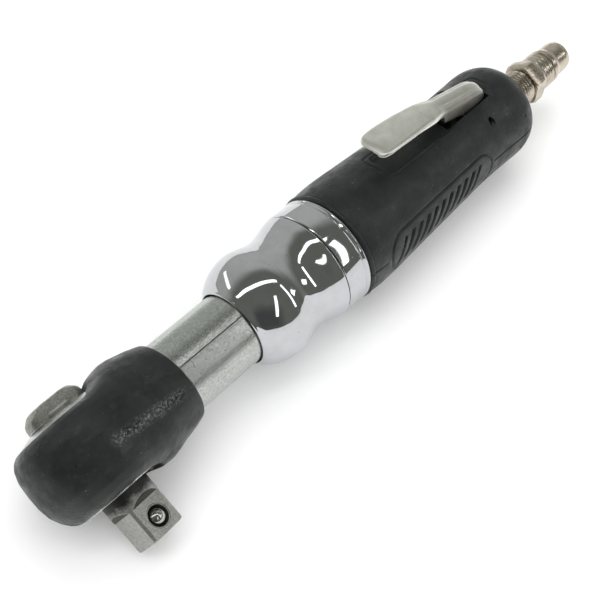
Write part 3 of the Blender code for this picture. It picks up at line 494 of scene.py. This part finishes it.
# Dark steel used as painted shade: in the neck's scribed line, on the housing inside the grip and on the
# plunger bushing.
PAINTED_SHADE_STEEL = machined_look("painted_shade_steel", (0.16, 0.16, 0.155), (0.08, 0.08, 0.078), (3, 0.4, 0.4))
MACHINED = machined_look("machined_steel", (0.62, 0.62, 0.60), (0.42, 0.42, 0.41), (3, 0.4, 0.4))
BRONZE = machined_look("oiled_bronze", (0.52, 0.34, 0.15), (0.34, 0.20, 0.08), (1, 1, 1))
FIBRE = fibre_look()
SEAL = rubber_look("seal_rubber", 0.1)


# The head


def metal_head():
    """The ratchet housing: domed head, satin neck with its scribed line, and inner flange."""
    outline = [(-13.9, 0, 0), (-13.9, 11.3, 1.0), (-11.9, 17.0, 3), (-10.1, 18.8, 2),
               (10.0, 18.8, 3), (13.0, 16.6, 3), (14.6, 14.3, 0), (16.0, 14.1, 0.25),
               (16.0, 0, 0)]
    head = placed("neck_and_head", revolved(rounded(outline, closed=False), 160), HEAD)
    neck = revolved(
        rounded([(6, 0, 0), (6, 13.4, 0), (68, 13.4, 0), (68, 16.8, 0.4), (72.4, 16.8, 0.4),
                 (72.4, 0, 0)], closed=False), 160)
    bore = revolved([(7, 0), (7, 10.5), (69.8, 10.5), (69.8, 13.2), (77, 13.2), (77, 0)], 96)
    pocket = revolved(
        rounded([(-20, 0, 0), (-20, 9, 0), (-8.8, 9, 0), (-8.8, 13.2, 0), (13.6, 13.2, 0),
                 (13.6, 14.0, 0), (14.9, 14.0, 0), (14.9, 13.2, 0), (15.6, 13.2, 0),
                 (20, 15.0, 0), (20, 0, 0)], closed=False), 128)
    line_turn = math.radians(24)  # from the top of the tool towards the square drive
    line_place = TOOL @ Matrix.Rotation(line_turn, 4, "X")
    combine(head, ("UNION", neck, AXIS), ("DIFFERENCE", pocket, HEAD),
            ("DIFFERENCE", bore, AXIS),
            ("DIFFERENCE", block((30, -0.2, 12.9), (61.6, 0.2, 14)), line_place))
    finished(head, SATIN, "housing", "ratchet_housing")
    # Painted shade: the scribed line's faces get the dark steel.
    head.data.materials.append(PAINTED_SHADE_STEEL)
    for face in head.data.polygons:  # the line's own faces are dark
        x, y, z = (face.center - ORIGIN) / MM
        if 29 < x < 62 and 12.7 < math.hypot(y, z) < 13.37:
            face.material_index = 1


# The boot's outlines: (along, radius) of its sleeve, round the head axis, and of its collar, round
# the tool axis. The two run together in a fillet VALLEY wide.
BOOT_HEAD = [(-12.3, 16.3), (-12.0, 17.6), (-11.0, 19.1), (-9.2, 20.4), (-6.0, 21.5),
             (-1.0, 22.0), (4.0, 22.0), (8.0, 21.4), (11.5, 19.8), (13.9, 18.0), (15.1, 16.4),
             (15.6, 15.0), (15.7, 13.0)]
BOOT_COLLAR = [(0.0, 11.5), (8.0, 14.2), (11.0, 15.6), (15.0, 17.2), (18.5, 18.0), (21.5, 17.9),
               (25.0, 17.2), (29.0, 16.4), (32.3, 15.4), (33.3, 15.0), (33.6, 14.2)]
VALLEY = 8.5


def solid_distance(along, radius, outline):
    """Signed distance to a turned solid, negative inside it."""
    outline = np.array([(outline[0][0], 0.0), *outline, (outline[-1][0], 0.0)])
    point = np.stack([along, radius], axis=-1)[:, None, :]
    first, step = outline[None, :-1], np.diff(outline, axis=0)[None]
    t = np.clip(((point - first) * step).sum(-1) / (step**2).sum(-1), 0, 1)
    distance = np.linalg.norm(point - first - t[..., None] * step, axis=-1).min(axis=1)
    edge = np.interp(along, outline[:, 0], outline[:, 1], left=-1, right=-1)
    return np.where(radius < edge, -distance, distance)


def boot_distance(points):
    """Signed distance to the boot's outer skin: its sleeve and collar joined by a fillet."""
    axis = np.array(Matrix.Rotation(HEAD_TURN, 3, "X") @ Vector((0, 0, 1)))
    height = points @ axis
    across = np.linalg.norm(points - height[:, None] * axis, axis=1)
    sleeve = solid_distance(height, across, BOOT_HEAD)
    collar = solid_distance(points[:, 0], np.hypot(points[:, 1], points[:, 2]), BOOT_COLLAR)
    near = np.clip(VALLEY - np.abs(sleeve - collar), 0, None) / VALLEY
    return np.minimum(sleeve, collar) - near**2 * VALLEY / 4


def head_boot():
    """The moulded cover: its sleeve and collar run together in a soft valley."""
    sleeve, collar = (
        revolved([(curve[0][0], 0), *curve, (curve[-1][0], 0)], 128)
        for curve in (spline(BOOT_HEAD, 4), spline(BOOT_COLLAR, 4))
    )
    boot = placed("rubber_boot", sleeve, HEAD)
    combine(boot, ("UNION", collar, AXIS))
    remesh = boot.modifiers.new("even", "REMESH")
    remesh.mode = "VOXEL"
    remesh.voxel_size = 0.5 * MM
    bake(boot)
    count = len(boot.data.vertices)
    points = np.empty(3 * count)
    boot.data.vertices.foreach_get("co", points)
    points = (points.reshape(-1, 3) - np.array(ORIGIN)) / MM
    small = 0.05
    for _ in range(8):  # each pass moves the points nearer to the skin
        value = boot_distance(points)
        slope = np.stack([
            (boot_distance(points + offset) - value) / small for offset in small * np.eye(3)
        ], axis=1)
        points = points - (value / np.maximum((slope**2).sum(1), 0.25))[:, None] * slope
    points[:, 0] -= 0.07 * points[:, 1] * smoothstep(points[:, 0], 22.0, 33.0)
    points[:, 2] = np.maximum(points[:, 2], 0.05 - ORIGIN.z / MM)  # flat where it rests
    boot.data.vertices.foreach_set("co", (points * MM + np.array(ORIGIN)).ravel())
    boot.data.update()
    shape = bmesh.new()
    shape.from_mesh(boot.data)
    for _ in range(3):
        bmesh.ops.smooth_vert(shape, verts=shape.verts, factor=0.5, use_axis_x=True,
                              use_axis_y=True, use_axis_z=True)
    shape.to_mesh(boot.data)
    shape.free()
    inside = revolved(
        rounded([(-24, 0, 0), (-24, 12.6, 0), (-13.6, 13.6, 0), (-12.6, 16.0, 0.5),
                 (-10.4, 19.0, 2), (10.2, 19.0, 2), (13.2, 16.8, 1), (14.8, 14.7, 0),
                 (18, 14.4, 0), (22, 14.4, 0), (22, 0, 0)], closed=False), 128)
    sleeve_space = revolved([(5, 0), (5, 13.55), (45, 13.55), (45, 0)], 128)
    combine(boot, ("DIFFERENCE", inside, HEAD), ("DIFFERENCE", sleeve_space, AXIS))
    finished(boot, BOOT, "housing", "head_boot", 50)


SQUARE = 12.7
SQUARE_END = 33.8
DRIVE_TURN = -15.0
BALL_HEIGHT = 28.3
BALL_R = 2.95
BALL_STANDS_OUT = 1.3


def square_drive():
    """The anvil: round body, oily neck, and the square milled from it with curved shoulders."""
    flats = revolved(
        [(12, 0), (12, 9.2 * math.sqrt(2)), (19.3, 9.2 * math.sqrt(2)),
         (22.15, SQUARE / math.sqrt(2)), (40, SQUARE / math.sqrt(2)), (40, 0)], 4, 45 + DRIVE_TURN)
    stock = revolved(
        rounded([(15, 0, 0), (15, 8.4, 0), (SQUARE_END, 8.4, 0.9), (SQUARE_END, 0, 0)],
                closed=False), 128)
    body = revolved(
        rounded([(-12.6, 0, 0), (-12.6, 8.7, 0.3), (-8.4, 8.7, 0), (-8.4, 9.4, 0.2),
                 (8.7, 9.4, 0.2), (8.7, 8.7, 0), (15.7, 8.7, 0.3), (15.7, 0, 0)],
                closed=False), 96)
    face = Vector((*polar(1, 90 + DRIVE_TURN), 0))
    rise = Vector((0, 0, BALL_HEIGHT))
    drive = placed("square_drive", stock, HEAD)
    combine(drive, ("INTERSECT", flats, HEAD))
    soften(drive, 0.55, 3, 30)
    surface = rise + face * SQUARE / 2
    combine(
        drive,
        ("UNION", body, HEAD),
        ("DIFFERENCE", block((-14, -14, -2.6), (-1.9, 14, 2.6)), HEAD),
        ("DIFFERENCE", bar(3.2, (0, 0, -15), (0, 0, 3.3)), HEAD),
        ("DIFFERENCE", bar(1.5, (-6.3, 0, -7.2), (-6.3, 0, 10)), HEAD),
        ("DIFFERENCE", bar(4.05, surface - face * 0.35, surface + face * 3, 64), HEAD),
        ("DIFFERENCE", bar(3.55, rise - face * 3.2, rise + face * 9, 64), HEAD),
    )
    finished(drive, DRIVE, "anvil", "drive_anvil")
    ring = revolved(
        rounded([(-0.5, 3.5, 0), (0.05, 3.5, 0.1), (0.05, 3.7, 0.1), (-0.2, 4.0, 0.1),
                 (-0.5, 4.0, 0)]), 64)
    facing = face.to_track_quat("Z", "Y").to_matrix().to_4x4()
    lip = placed("staked_lip", ring, HEAD @ Matrix.Translation(surface - face * 0.02) @ facing)
    lip.data.materials.append(DRIVE)
    lip.data.shade_smooth()
    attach(lip, "anvil")
    shape = bmesh.new()
    bmesh.ops.create_uvsphere(shape, u_segments=48, v_segments=28, radius=BALL_R)
    centre = surface + face * (BALL_STANDS_OUT - BALL_R)
    ball = placed("ball_detent", shape, HEAD @ Matrix.Translation(centre))
    finished(ball, BALL, "ball", "detent_ball")


def head_rings():
    """The cover plate and the open snap ring with its two eyes."""
    cover = revolved(
        rounded([(9.1, 9.0, 0), (9.1, 12.9, 0.2), (13.4, 12.9, 0.35), (13.4, 9.0, 0.3)]), 128)
    finished(placed("cover_disc", cover, HEAD), MACHINED, "housing", "cover_plate")
    inner, outer, opening = 11.6, 13.7, 14
    angles = [opening + (360 - 2 * opening) * i / 90 for i in range(91)]
    outline = [polar(outer, a) for a in angles] + [polar(inner, a) for a in reversed(angles)]
    ring = placed("snap_ring", slab(outline, 13.85, 14.65), HEAD)
    changes = []
    for side in (1, -1):
        x, y = polar(11.0, side * (opening + 5))
        changes.append(("UNION", bar(1.7, (x, y, 13.85), (x, y, 17.0), 32), HEAD))
        changes.append(("DIFFERENCE", bar(0.8, (x, y, 13), (x, y, 18), 24), HEAD))
    combine(ring, *changes)
    soften(ring, 0.12, 2)
    finished(ring, MACHINED, "housing", "retaining_ring")


def reverse_knob():
    """The knob's rounded bar and the shaft that carries the sprung plunger."""
    dome = revolved(
        rounded([(-19.4, 0, 0), (-19.4, 7.6, 2.2), (-17.2, 10.0, 2.2), (-14.2, 10.6, 0.3),
                 (-14.2, 0, 0)], closed=False), 128)
    half_length, half_width, corner = 10.1, 6.0, 4.5
    outline = rounded([(half_length, half_width, corner), (-half_length, half_width, corner),
                       (-half_length, -half_width, corner), (half_length, -half_width, corner)],
                      steps=12)
    knob = placed("direction_knob", dome, HEAD)
    combine(knob, ("INTERSECT", slab(outline, -22, -12.9), HEAD))
    soften(knob, 1.1, 5, 40)
    shaft = revolved([(-15.5, 0), (-15.5, 7.2), (-12.9, 7.2), (-12.9, 2.9), (3, 2.9), (3, 0)], 64)
    plunger_hole = bar(1.3, (-8, 0, 0), (2.1, 0, 0), 32)
    combine(knob, ("UNION", shaft, HEAD), ("DIFFERENCE", plunger_hole, HEAD))
    finished(knob, KNOB, "knob", "reverse_knob")


# The middle


NUT_OUTLINE = [(62.2, 14.6), (64.0, 16.4), (67.5, 18.6), (71.5, 20.0), (75.5, 20.45), (79.0, 19.9),
               (83.0, 18.8), (87.0, 18.4), (91.0, 19.0), (95.0, 20.1), (97.1, 20.5)]


def clamp_nut():
    outer = [(61.9, 13.8), (61.7, 14.0), (61.75, 14.3)] + spline(NUT_OUTLINE, 7)
    inner = [(97.4, 20.3), (97.4, 17.5), (90.4, 17.5), (90.4, 17.1), (67.6, 17.1), (67.6, 13.8)]
    nut = placed("plated_nut", revolved(outer + inner, 224), AXIS)
    finished(nut, CHROME, "housing", "clamp_nut", 50)


def motor_collar():
    """The plated band with its rim lines, and the housing behind it inside the grip."""
    outline = [
        (91.2, 16.7, 0), (91.7, 17.2, 0), (97.7, 17.2, 0), (97.7, 20.35, 0.25), (98.1, 20.6, 0.2),
        (105.7, 20.6, 0.1), (105.85, 20.35, 0.05), (106.15, 20.35, 0.05), (106.3, 20.6, 0.1),
        (107.2, 20.6, 0.15), (107.45, 20.75, 0.15), (108.1, 20.6, 0.2), (108.1, 17.0, 0),
        (205.6, 17.0, 0), (206.2, 16.4, 0), (206.2, 9.1, 0), (196.4, 9.1, 0), (195.6, 6.5, 0),
        (178.2, 6.5, 0), (178.2, 4.6, 0), (158.0, 4.6, 0), (152.0, 12.0, 0), (150.4, 14.6, 0),
        (93.5, 14.6, 0), (91.2, 15.0, 0),
    ]
    housing = placed("motor_collar", revolved(rounded(outline, steps=3), 192), AXIS)
    x, up = LEVER_PIN
    combine(
        housing,
        ("UNION", block((-16.6, -7.1, x - 5), (-8.0, 7.1, x + 5)), AXIS),
        ("DIFFERENCE", block((-30, -5.0, 168.4), (-11.0, 5.0, 193.5)), AXIS),
        ("DIFFERENCE", bar(1.75, (-up, -9, x), (-up, 9, x)), AXIS),
        ("DIFFERENCE", bar(3.1, (-13, 0, 173.0), (-2, 0, 173.0)), AXIS),
    )
    finished(housing, CHROME, "housing", "motor_housing")
    # Painted shade: the housing's faces inside the grip, seen under the lever, get the dark steel.
    housing.data.materials.append(PAINTED_SHADE_STEEL)
    inside = ORIGIN.x + (GRIP_START - 0.1) * MM
    for face in housing.data.polygons:
        if face.center.x > inside:
            face.material_index = 1


# The grip


GRIP_OUTLINE = [(110.6, 20.9), (114.0, 21.3), (119.0, 21.4), (125.0, 21.2), (132.0, 20.8),
                (142.0, 20.3), (152.0, 19.8), (161.0, 19.4), (170.0, 19.0), (177.0, 18.7),
                (184.0, 18.6), (192.0, 18.8), (199.0, 19.0), (202.5, 18.9), (205.2, 18.4),
                (207.6, 17.5), (209.6, 16.1), (210.8, 14.3)]


def smoothstep(value, low, high):
    t = np.clip((value - low) / (high - low), 0, 1)
    return t * t * (3 - 2 * t)


def from_slot(x, y, centre, half, corner):
    """Signed distance from a rounded rectangle, negative inside."""
    dx = np.abs(x - centre[0]) - half[0] + corner
    dy = np.abs(y - centre[1]) - half[1] + corner
    outside = np.hypot(np.maximum(dx, 0), np.maximum(dy, 0))
    return outside + np.minimum(np.maximum(dx, dy), 0) - corner


GRIP_RADIUS = 19.6
GROOVE_PITCH = 4.6


def grip_relief(x, angle, radius):
    """How far the moulding's details stand out from the grip's plain turned surface."""
    side = np.abs(np.radians(angle) * GRIP_RADIUS)  # distance round the grip from its top
    panel = from_slot(x, side, (149.5, 29.2), (30.5, 7.8), 7.0)
    relief = -0.7 * np.exp(-((panel / 0.42) ** 2))
    slant = (x - 147.5) + 0.6 * (side - 29.0)
    place = np.abs((slant / GROOVE_PITCH + 0.5) % 1 - 0.5) * GROOVE_PITCH
    within = smoothstep(23.5 - np.abs(slant), 0, 0.5) * smoothstep(4.6 - np.abs(side - 29.0), 0, 0.5)
    relief -= 0.95 * within * smoothstep(1.1 - place, 0, 0.4)
    seam = smoothstep(0.34 - np.abs(side - 28.4), 0, 0.22)
    relief -= 0.42 * seam * smoothstep(x, 181.2, 181.9) * smoothstep(209.0 - x, 0, 2.0)
    relief -= 0.35 * seam * smoothstep(117.0 - x, 0, 1.2)
    for along, across in ((202.2, 20.4), (199.5, 34.0)):
        distance = np.hypot(x - along, side - across)
        relief -= 0.45 * np.exp(-((distance / 0.55) ** 2))
    height = radius * np.cos(np.radians(angle))
    reach = radius * np.sin(np.radians(angle))
    top = (np.abs(angle) < 60) & (height > 0)
    pocket = from_slot(x, reach, (165.5, 0.0), (29.5, 5.7), 2.0)
    frame_line = from_slot(x, reach, (165.5, -1.0), (31.5, 6.2), 2.2)
    relief += np.where(top, -0.4 * np.exp(-((frame_line / 0.36) ** 2)), 0)
    floor = 18.1 / np.cos(np.radians(np.clip(angle, -60, 60))) - radius
    depth = np.where(top, smoothstep(-pocket, -0.3, 0.4), 0)
    return relief * (1 - depth) + np.minimum(floor, 0) * depth


def grip_sleeve():
    """The moulded grip: a fine grid turned round the tool, with its relief pressed in."""
    front = [(GRIP_START, 19.8), (108.45, 20.35), (108.7, 20.85), (109.1, 21.15), (109.5, 21.25),
             (109.9, 21.1), (110.15, 20.75), (110.3, 20.7)]
    outer = np.array(spline(GRIP_OUTLINE, 10))
    length = np.concatenate([[0], np.cumsum(np.hypot(*np.diff(outer, axis=0).T))])
    step = 0.3
    even = np.linspace(0, length[-1], int(length[-1] / step))
    outer = np.column_stack([np.interp(even, length, outer[:, i]) for i in (0, 1)])
    around = int(2 * math.pi * GRIP_RADIUS / step)
    angles = 360 * np.arange(around) / around - 180
    place = np.radians(angles)
    profile = np.vstack([front, outer])
    along = np.repeat(profile[:, :1], around, 1)
    radius = np.repeat(profile[:, 1:], around, 1)
    radius = radius + grip_relief(along, angles[None, :], radius)
    inner = [(211.0, 13.9), (211.0, 13.3), (206.5, 13.2), (206.5, 17.3), (GRIP_START, 17.3)]
    shape = bmesh.new()
    rings = []
    for station, out in [*zip(profile[:, 0], radius), *inner]:
        xs, ys = -out * np.cos(place), -out * np.sin(place)
        rings.append([shape.verts.new((x, y, station)) for x, y in zip(xs, ys)])
    for first, second in zip(rings, rings[1:] + rings[:1]):
        for i in range(around):
            j = (i + 1) % around
            shape.faces.new((first[i], first[j], second[j], second[i]))
    bmesh.ops.recalc_face_normals(shape, faces=shape.faces)
    grip = placed("moulded_grip", shape, AXIS)
    x, up = LEVER_PIN
    combine(
        grip,
        ("DIFFERENCE", block((-30, -4.7, 168.4), (-8, 4.7, 193.5)), AXIS),
        ("DIFFERENCE", block((-17.0, -7.5, x - 5.4), (-8, 7.5, x + 5.4)), AXIS),
        ("DIFFERENCE", bar(1.35, (-up, -30, x), (-up, 30, x)), AXIS),
    )
    finished(grip, GRIP, "housing", "grip_sleeve", 60)


# The lever


LEVER_OUTLINE = [  # station, height of its top, half width, crown
    (130.9, 31.9, 3.9, 0.1), (131.05, 32.1, 4.8, 0.12), (131.5, 32.5, 5.6, 0.2),
    (132.3, 32.9, 6.15, 0.25), (133.6, 33.2, 6.5, 0.35), (137.0, 33.4, 6.6, 0.5),
    (144.0, 32.9, 6.5, 0.6), (150.0, 32.3, 6.3, 0.7), (158.0, 31.4, 5.9, 1.0),
    (163.0, 30.6, 5.0, 1.4), (166.0, 29.9, 4.4, 1.6), (170.0, 29.1, 4.3, 1.6),
    (180.0, 26.8, 4.3, 1.6), (184.0, 25.9, 4.3, 1.6), (187.0, 25.0, 4.3, 1.6),
    (189.6, 23.6, 4.25, 1.6), (190.8, 21.8, 4.0, 1.4),
]
LEVER_WALLS = [  # station, how far the sides turn down
    (130, 0.0), (148, 0.25), (158, 0.9), (163, 2.0), (165.6, 3.0), (165.9, 5.6), (170, 6.4),
    (180, 6.8), (181.6, 11.6), (184, 14.0), (187, 13.2), (189.6, 9.4), (190.8, 5.4),
]
LEVER_SHEET = 1.4
LEVER_BEND = 1.6


def throttle_lever():
    """Pressed sheet: a channel over the pin, opening into the crowned thumb paddle."""
    centre = np.array(spline(LEVER_OUTLINE, 10))
    walls = np.interp(centre[:, 0], *zip(*LEVER_WALLS))
    shape = bmesh.new()
    rows = []
    for (station, top, half, crown), drop in zip(centre, walls):
        half -= LEVER_SHEET / 2
        top -= LEVER_SHEET / 2
        flat = half - LEVER_BEND
        shoulder = top - crown * 0.5
        fall = min(LEVER_BEND, crown * 0.6 + drop)
        section = [(flat * k / 9, top - crown * 0.5 * (k / 9) ** 2) for k in range(9)]
        for k in range(7):
            turn = math.pi / 2 * k / 6
            section.append((flat + LEVER_BEND * math.sin(turn), shoulder - fall * (1 - math.cos(turn))))
        for k in range(1, 5):
            section.append((half + 0.001 * k, shoulder - fall - max(drop - fall, 0.02) * k / 4))
        both = [(-y, z) for y, z in reversed(section)] + section[1:]
        rows.append([shape.verts.new((-z, y, station)) for y, z in both])
    for first, second in zip(rows, rows[1:]):
        for a, b, c, d in zip(first, first[1:], second[1:], second):
            shape.faces.new((a, b, c, d))
    bmesh.ops.recalc_face_normals(shape, faces=shape.faces)
    lever = placed("thumb_lever", shape, AXIS)
    sheet = lever.modifiers.new("sheet", "SOLIDIFY")
    sheet.thickness = LEVER_SHEET * MM
    sheet.offset = 0
    bake(lever)
    soften(lever, 0.4, 3, 55)
    x, up = LEVER_PIN
    combine(lever, ("DIFFERENCE", bar(1.75, (-up, -9, x), (-up, 9, x)), AXIS))
    finished(lever, LEVER, "lever", "throttle_lever", 40)
    pin = bar(1.45, (-up, -7.9, x), (-up, 7.9, x), 40)
    rolled = soften(placed("rolled_pin", pin, AXIS), 0.3, 3)
    combine(rolled, ("DIFFERENCE", bar(0.6, (-up, -9, x), (-up, 9, x), 24), AXIS))
    finished(rolled, MACHINED, "housing", "lever_pin")


# The air inlet


def air_inlet():
    bushing = rounded([(196.7, 8.7, 0), (206.6, 8.7, 0), (206.6, 9.3, 0.15), (215.6, 9.3, 0.3),
                       (216.2, 8.7, 0.3), (216.2, 7.1, 0), (200.4, 6.9, 0), (200.4, 4.0, 0),
                       (196.7, 4.0, 0)])
    finished(placed("inlet_boss", revolved(bushing, 96), AXIS), PLUG, "housing", "inlet_bushing")
    ring = rounded([(206.8, 12.9, 0), (211.0, 12.9, 0.4), (211.8, 12.5, 0.3), (211.8, 11.8, 0.2),
                    (208.2, 11.7, 0.5), (208.2, 9.6, 0.2), (206.8, 9.6, 0)])
    deflector = placed("vent_ring", revolved(ring, 128), AXIS)
    vents = []
    for i in range(8):
        x, y = polar(10.7, 9 + 45 * i)
        vents.append(("DIFFERENCE", bar(0.75, (x, y, 205), (x, y, 212), 20), AXIS))
    combine(deflector, *vents)
    finished(deflector, MACHINED, "housing", "exhaust_deflector")


THREAD_PITCH = 1.337
THREAD_START = 205.4
THREAD_END = 225.0


def coupler_plug():
    """The air plug: cut thread, hexagon, ridges, locking groove and nose, with its bore."""
    thread = [(along, 6.5) for along in np.arange(THREAD_START, THREAD_END, THREAD_PITCH / 12)]
    body = rounded([
        (225.2, 6.1, 0), (225.5, 7.2, 0.1), (230.6, 7.5, 0), (231.8, 7.35, 0.3),
        (232.9, 7.1, 0.2), (233.1, 6.9, 0.1), (233.4, 7.15, 0.1), (234.6, 7.2, 0.1),
        (234.8, 7.0, 0.1), (235.1, 7.2, 0.1), (236.4, 7.2, 0.1), (236.6, 7.0, 0.1),
        (236.9, 7.25, 0.1), (238.4, 7.25, 0.2), (238.6, 6.5, 0.1), (239.3, 6.5, 0.1),
        (239.5, 7.2, 0.2), (241.4, 7.15, 0.8), (243.4, 6.45, 1.2), (248.6, 6.4, 1.2),
        (250.7, 6.0, 0.7), (251.3, 5.4, 0.3), (251.3, 4.4, 0.3), (250.6, 3.75, 0.2),
        (THREAD_START, 3.75, 0),
    ], steps=3)
    shape = revolved(thread + body, 144)
    for vert in shape.verts:
        if THREAD_START + 0.01 < vert.co.z < THREAD_END - 0.01 and vert.co.xy.length > 5:
            turn = math.atan2(vert.co.y, vert.co.x) / (2 * math.pi)
            phase = (vert.co.z / THREAD_PITCH - turn) % 1
            radius = 6.05 + 0.05 * max(0.0, vert.co.z - 213)
            radius += 0.72 * min(1.0, 1.25 * (1 - abs(2 * phase - 1)))
            radius -= 0.35 * max(0.0, vert.co.z - (THREAD_END - 1.4))
            vert.co.xy = vert.co.xy.normalized() * radius
    plug = placed("air_plug", shape, AXIS)
    hexagon = revolved([(225.2, 0), (225.2, 8.9), (231.0, 8.9), (231.0, 0)], 6, 1)
    cones = revolved(
        rounded([(225.2, 4.5, 0), (225.2, 8.2, 0.1), (226.0, 9.2, 0), (229.6, 9.2, 0),
                 (231.0, 7.9, 0.1), (231.0, 4.5, 0)]), 96)
    nut = placed("plug_hexagon_tool", hexagon, AXIS)
    combine(nut, ("INTERSECT", cones, AXIS))
    soften(nut, 0.16, 2, 20)
    union = plug.modifiers.new("hexagon", "BOOLEAN")
    union.operation = "UNION"
    union.object = nut
    bake(plug)
    bpy.data.objects.remove(nut)
    finished(plug, PLUG, "housing", "coupler_plug", 30)


# The inner pieces keep their CAD shapes


INNER = {
    BRONZE: ["thrust_washer_knob_side", "thrust_washer_drive_side", "crank_bearing",
             "inlet_screen", "drive_bushing"],
    # Painted shade: the plunger bushing under the lever gets the dark steel.
    PAINTED_SHADE_STEEL: ["plunger_bushing"],
    MACHINED: ["ring_gear", "front_end_plate", "rear_end_plate", "front_bearing", "rear_bearing",
               "air_cylinder", "valve_spring", "pawl_pin", "detent_spring", "pawl_spring",
               "pawl_plunger", "pawl", "ratchet_yoke", "crankshaft", "planet_pin_1",
               "planet_pin_2", "planet_pin_3", "planet_gear_1", "planet_gear_2", "planet_gear_3",
               "rotor", "throttle_plunger", "tilt_valve"],
    FIBRE: ["vane_1", "vane_2", "vane_3", "vane_4"],
    SEAL: ["valve_seat"],
}


def inner_pieces():
    for look, names in INNER.items():
        for name in names:
            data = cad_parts[name].data
            data.materials.clear()
            data.materials.append(look)


# The studio and the camera


FLOOR_REACH = 12


def studio():
    """A pale floor, a grey room with a dark side and a few lit panes, and soft lamps."""
    floor_shape = bmesh.new()
    bmesh.ops.create_grid(floor_shape, x_segments=1, y_segments=1, size=FLOOR_REACH)
    floor = placed("floor", floor_shape, Matrix.Identity(4))
    look = Look("pale_floor", Specular_IOR_Level=0.2, Emission_Color=(1, 1, 1, 1),
                Emission_Strength=0.13)
    tone = look.mix(look.span(look.noise(300), 0.3, 0.7), (0.87, 0.87, 0.88), (0.89, 0.89, 0.895))
    floor.data.materials.append(look.done(tone, 0.8))
    world = bpy.data.worlds.new("room")
    bpy.context.scene.world = world
    world.use_nodes = True
    tree = world.node_tree
    direction = add_node(tree, "TexCoord").outputs["Generated"]

    def part(value, low, high):
        """0 at low and 1 at high, with a soft step between them."""
        inputs = {"Value": value, "From Min": low, "From Max": high}
        made = add_node(tree, "MapRange", inputs, interpolation_type="SMOOTHSTEP")
        return made.outputs["Result"]

    def along(vector):
        return add_node(tree, "VectorMath", {0: direction, 1: vector},
                        operation="DOT_PRODUCT").outputs["Value"]

    def combined(operation, first, second):
        return add_node(tree, "Math", {0: first, 1: second}, operation=operation).outputs[0]

    def pane(centre, turn, half_width, half_height, soft=0.02):
        """1 in a rectangle of the room round that direction, turned about it by degrees."""
        centre = Vector(centre).normalized()
        side = centre.cross(Vector((0, 0, 1))).normalized()
        side.rotate(Matrix.Rotation(math.radians(turn), 3, centre))
        distance = along(centre)
        inside = part(distance, 0.0, 0.05)
        for axis, half in ((side, half_width), (centre.cross(side), half_height)):
            offset = combined("DIVIDE", along(axis), distance)
            offset = add_node(tree, "Math", {0: offset}, operation="ABSOLUTE").outputs[0]
            inside = combined("MULTIPLY", inside, part(offset, half + soft, half - soft))
        return inside

    color = (0.50, 0.515, 0.485, 1)
    # The dark side, its darkest part and a lighter corner, then the lit panes: a window, a spot, the
    # long ceiling strip, a short one and a tall one on the left.
    for factor, other in (
        (part(along((-0.38, -0.76, 0.53)), -0.16, 0.24), (0.17, 0.175, 0.155, 1)),
        (pane((-0.55, -0.75, 0.35), 0, 0.50, 0.40, 0.25), (0.085, 0.085, 0.085, 1)),
        (part(along((0.45, 0.75, 0.49)), 0.80, 0.98), (0.56, 0.575, 0.545, 1)),
        (pane((0.51, -0.655, 0.557), -23.5, 0.045, 0.40), (4.2, 4.2, 4.25, 1)),
        (pane((0.73, -0.55, 0.41), 0, 0.07, 0.07), (4.2, 4.2, 4.25, 1)),
        (pane((-0.20, 0.09, 0.97), 89, 0.95, 0.055), (3.6, 3.6, 3.6, 1)),
        (pane((-0.13, -0.76, 0.64), 68, 0.34, 0.045), (3.0, 3.0, 3.0, 1)),
        (pane((-0.30, 0.85, 0.38), 30, 0.34, 0.040), (2.6, 2.6, 2.6, 1)),
    ):
        color = add_node(tree, "Mix", {0: factor, 6: color, 7: other}, data_type="RGBA").outputs[2]
    background = tree.nodes["Background"]
    tree.links.new(color, background.inputs["Color"])
    background.inputs["Strength"].default_value = 1.0
    target = ORIGIN + Vector((0.1, 0, 0))
    for name, place, size, power in (
        ("key", (0.45, 0.35, 0.95), (0.9, 0.6), 2.6),
        ("side", (-0.9, -0.5, 0.5), (0.4, 0.5), 1.2),
    ):
        lamp = bpy.data.lights.new(name, "AREA")
        lamp.shape = "RECTANGLE"
        lamp.size, lamp.size_y = size
        lamp.energy = power
        holder = bpy.data.objects.new(name, lamp)
        holder.location = target + Vector(place)
        holder.rotation_euler = (-Vector(place)).to_track_quat("-Z", "Y").to_euler()
        holder.visible_glossy = False
        bpy.context.scene.collection.objects.link(holder)
    sun = bpy.data.lights.new("fill", "SUN")
    sun.energy = 1.6
    sun.angle = math.radians(80)
    holder = bpy.data.objects.new("fill", sun)
    holder.rotation_euler = (math.radians(12), math.radians(-10), 0)
    holder.visible_glossy = False
    bpy.context.scene.collection.objects.link(holder)


def camera():
    """The view from in front, above and to the drive's side."""
    right = Vector((0.6727, -0.7399, 0.0))
    forward = Vector((0.4597, 0.4179, -0.7836))
    up = right.cross(forward)
    data = bpy.data.cameras.new("photo_view")
    data.lens = 64.4
    data.sensor_width = 36
    data.clip_start = 0.01
    holder = bpy.data.objects.new("photo_view", data)
    turn = Matrix((right, up, -forward)).transposed().to_4x4()
    holder.matrix_world = Matrix.Translation(ORIGIN + Vector((-79.5, -158.5, 281.7)) * MM) @ turn
    bpy.context.scene.collection.objects.link(holder)
    bpy.context.scene.camera = holder
    bpy.context.scene.view_settings.view_transform = "Standard"


metal_head()
head_boot()
square_drive()
head_rings()
reverse_knob()
clamp_nut()
motor_collar()
grip_sleeve()
throttle_lever()
air_inlet()
coupler_plug()
inner_pieces()
studio()
camera()
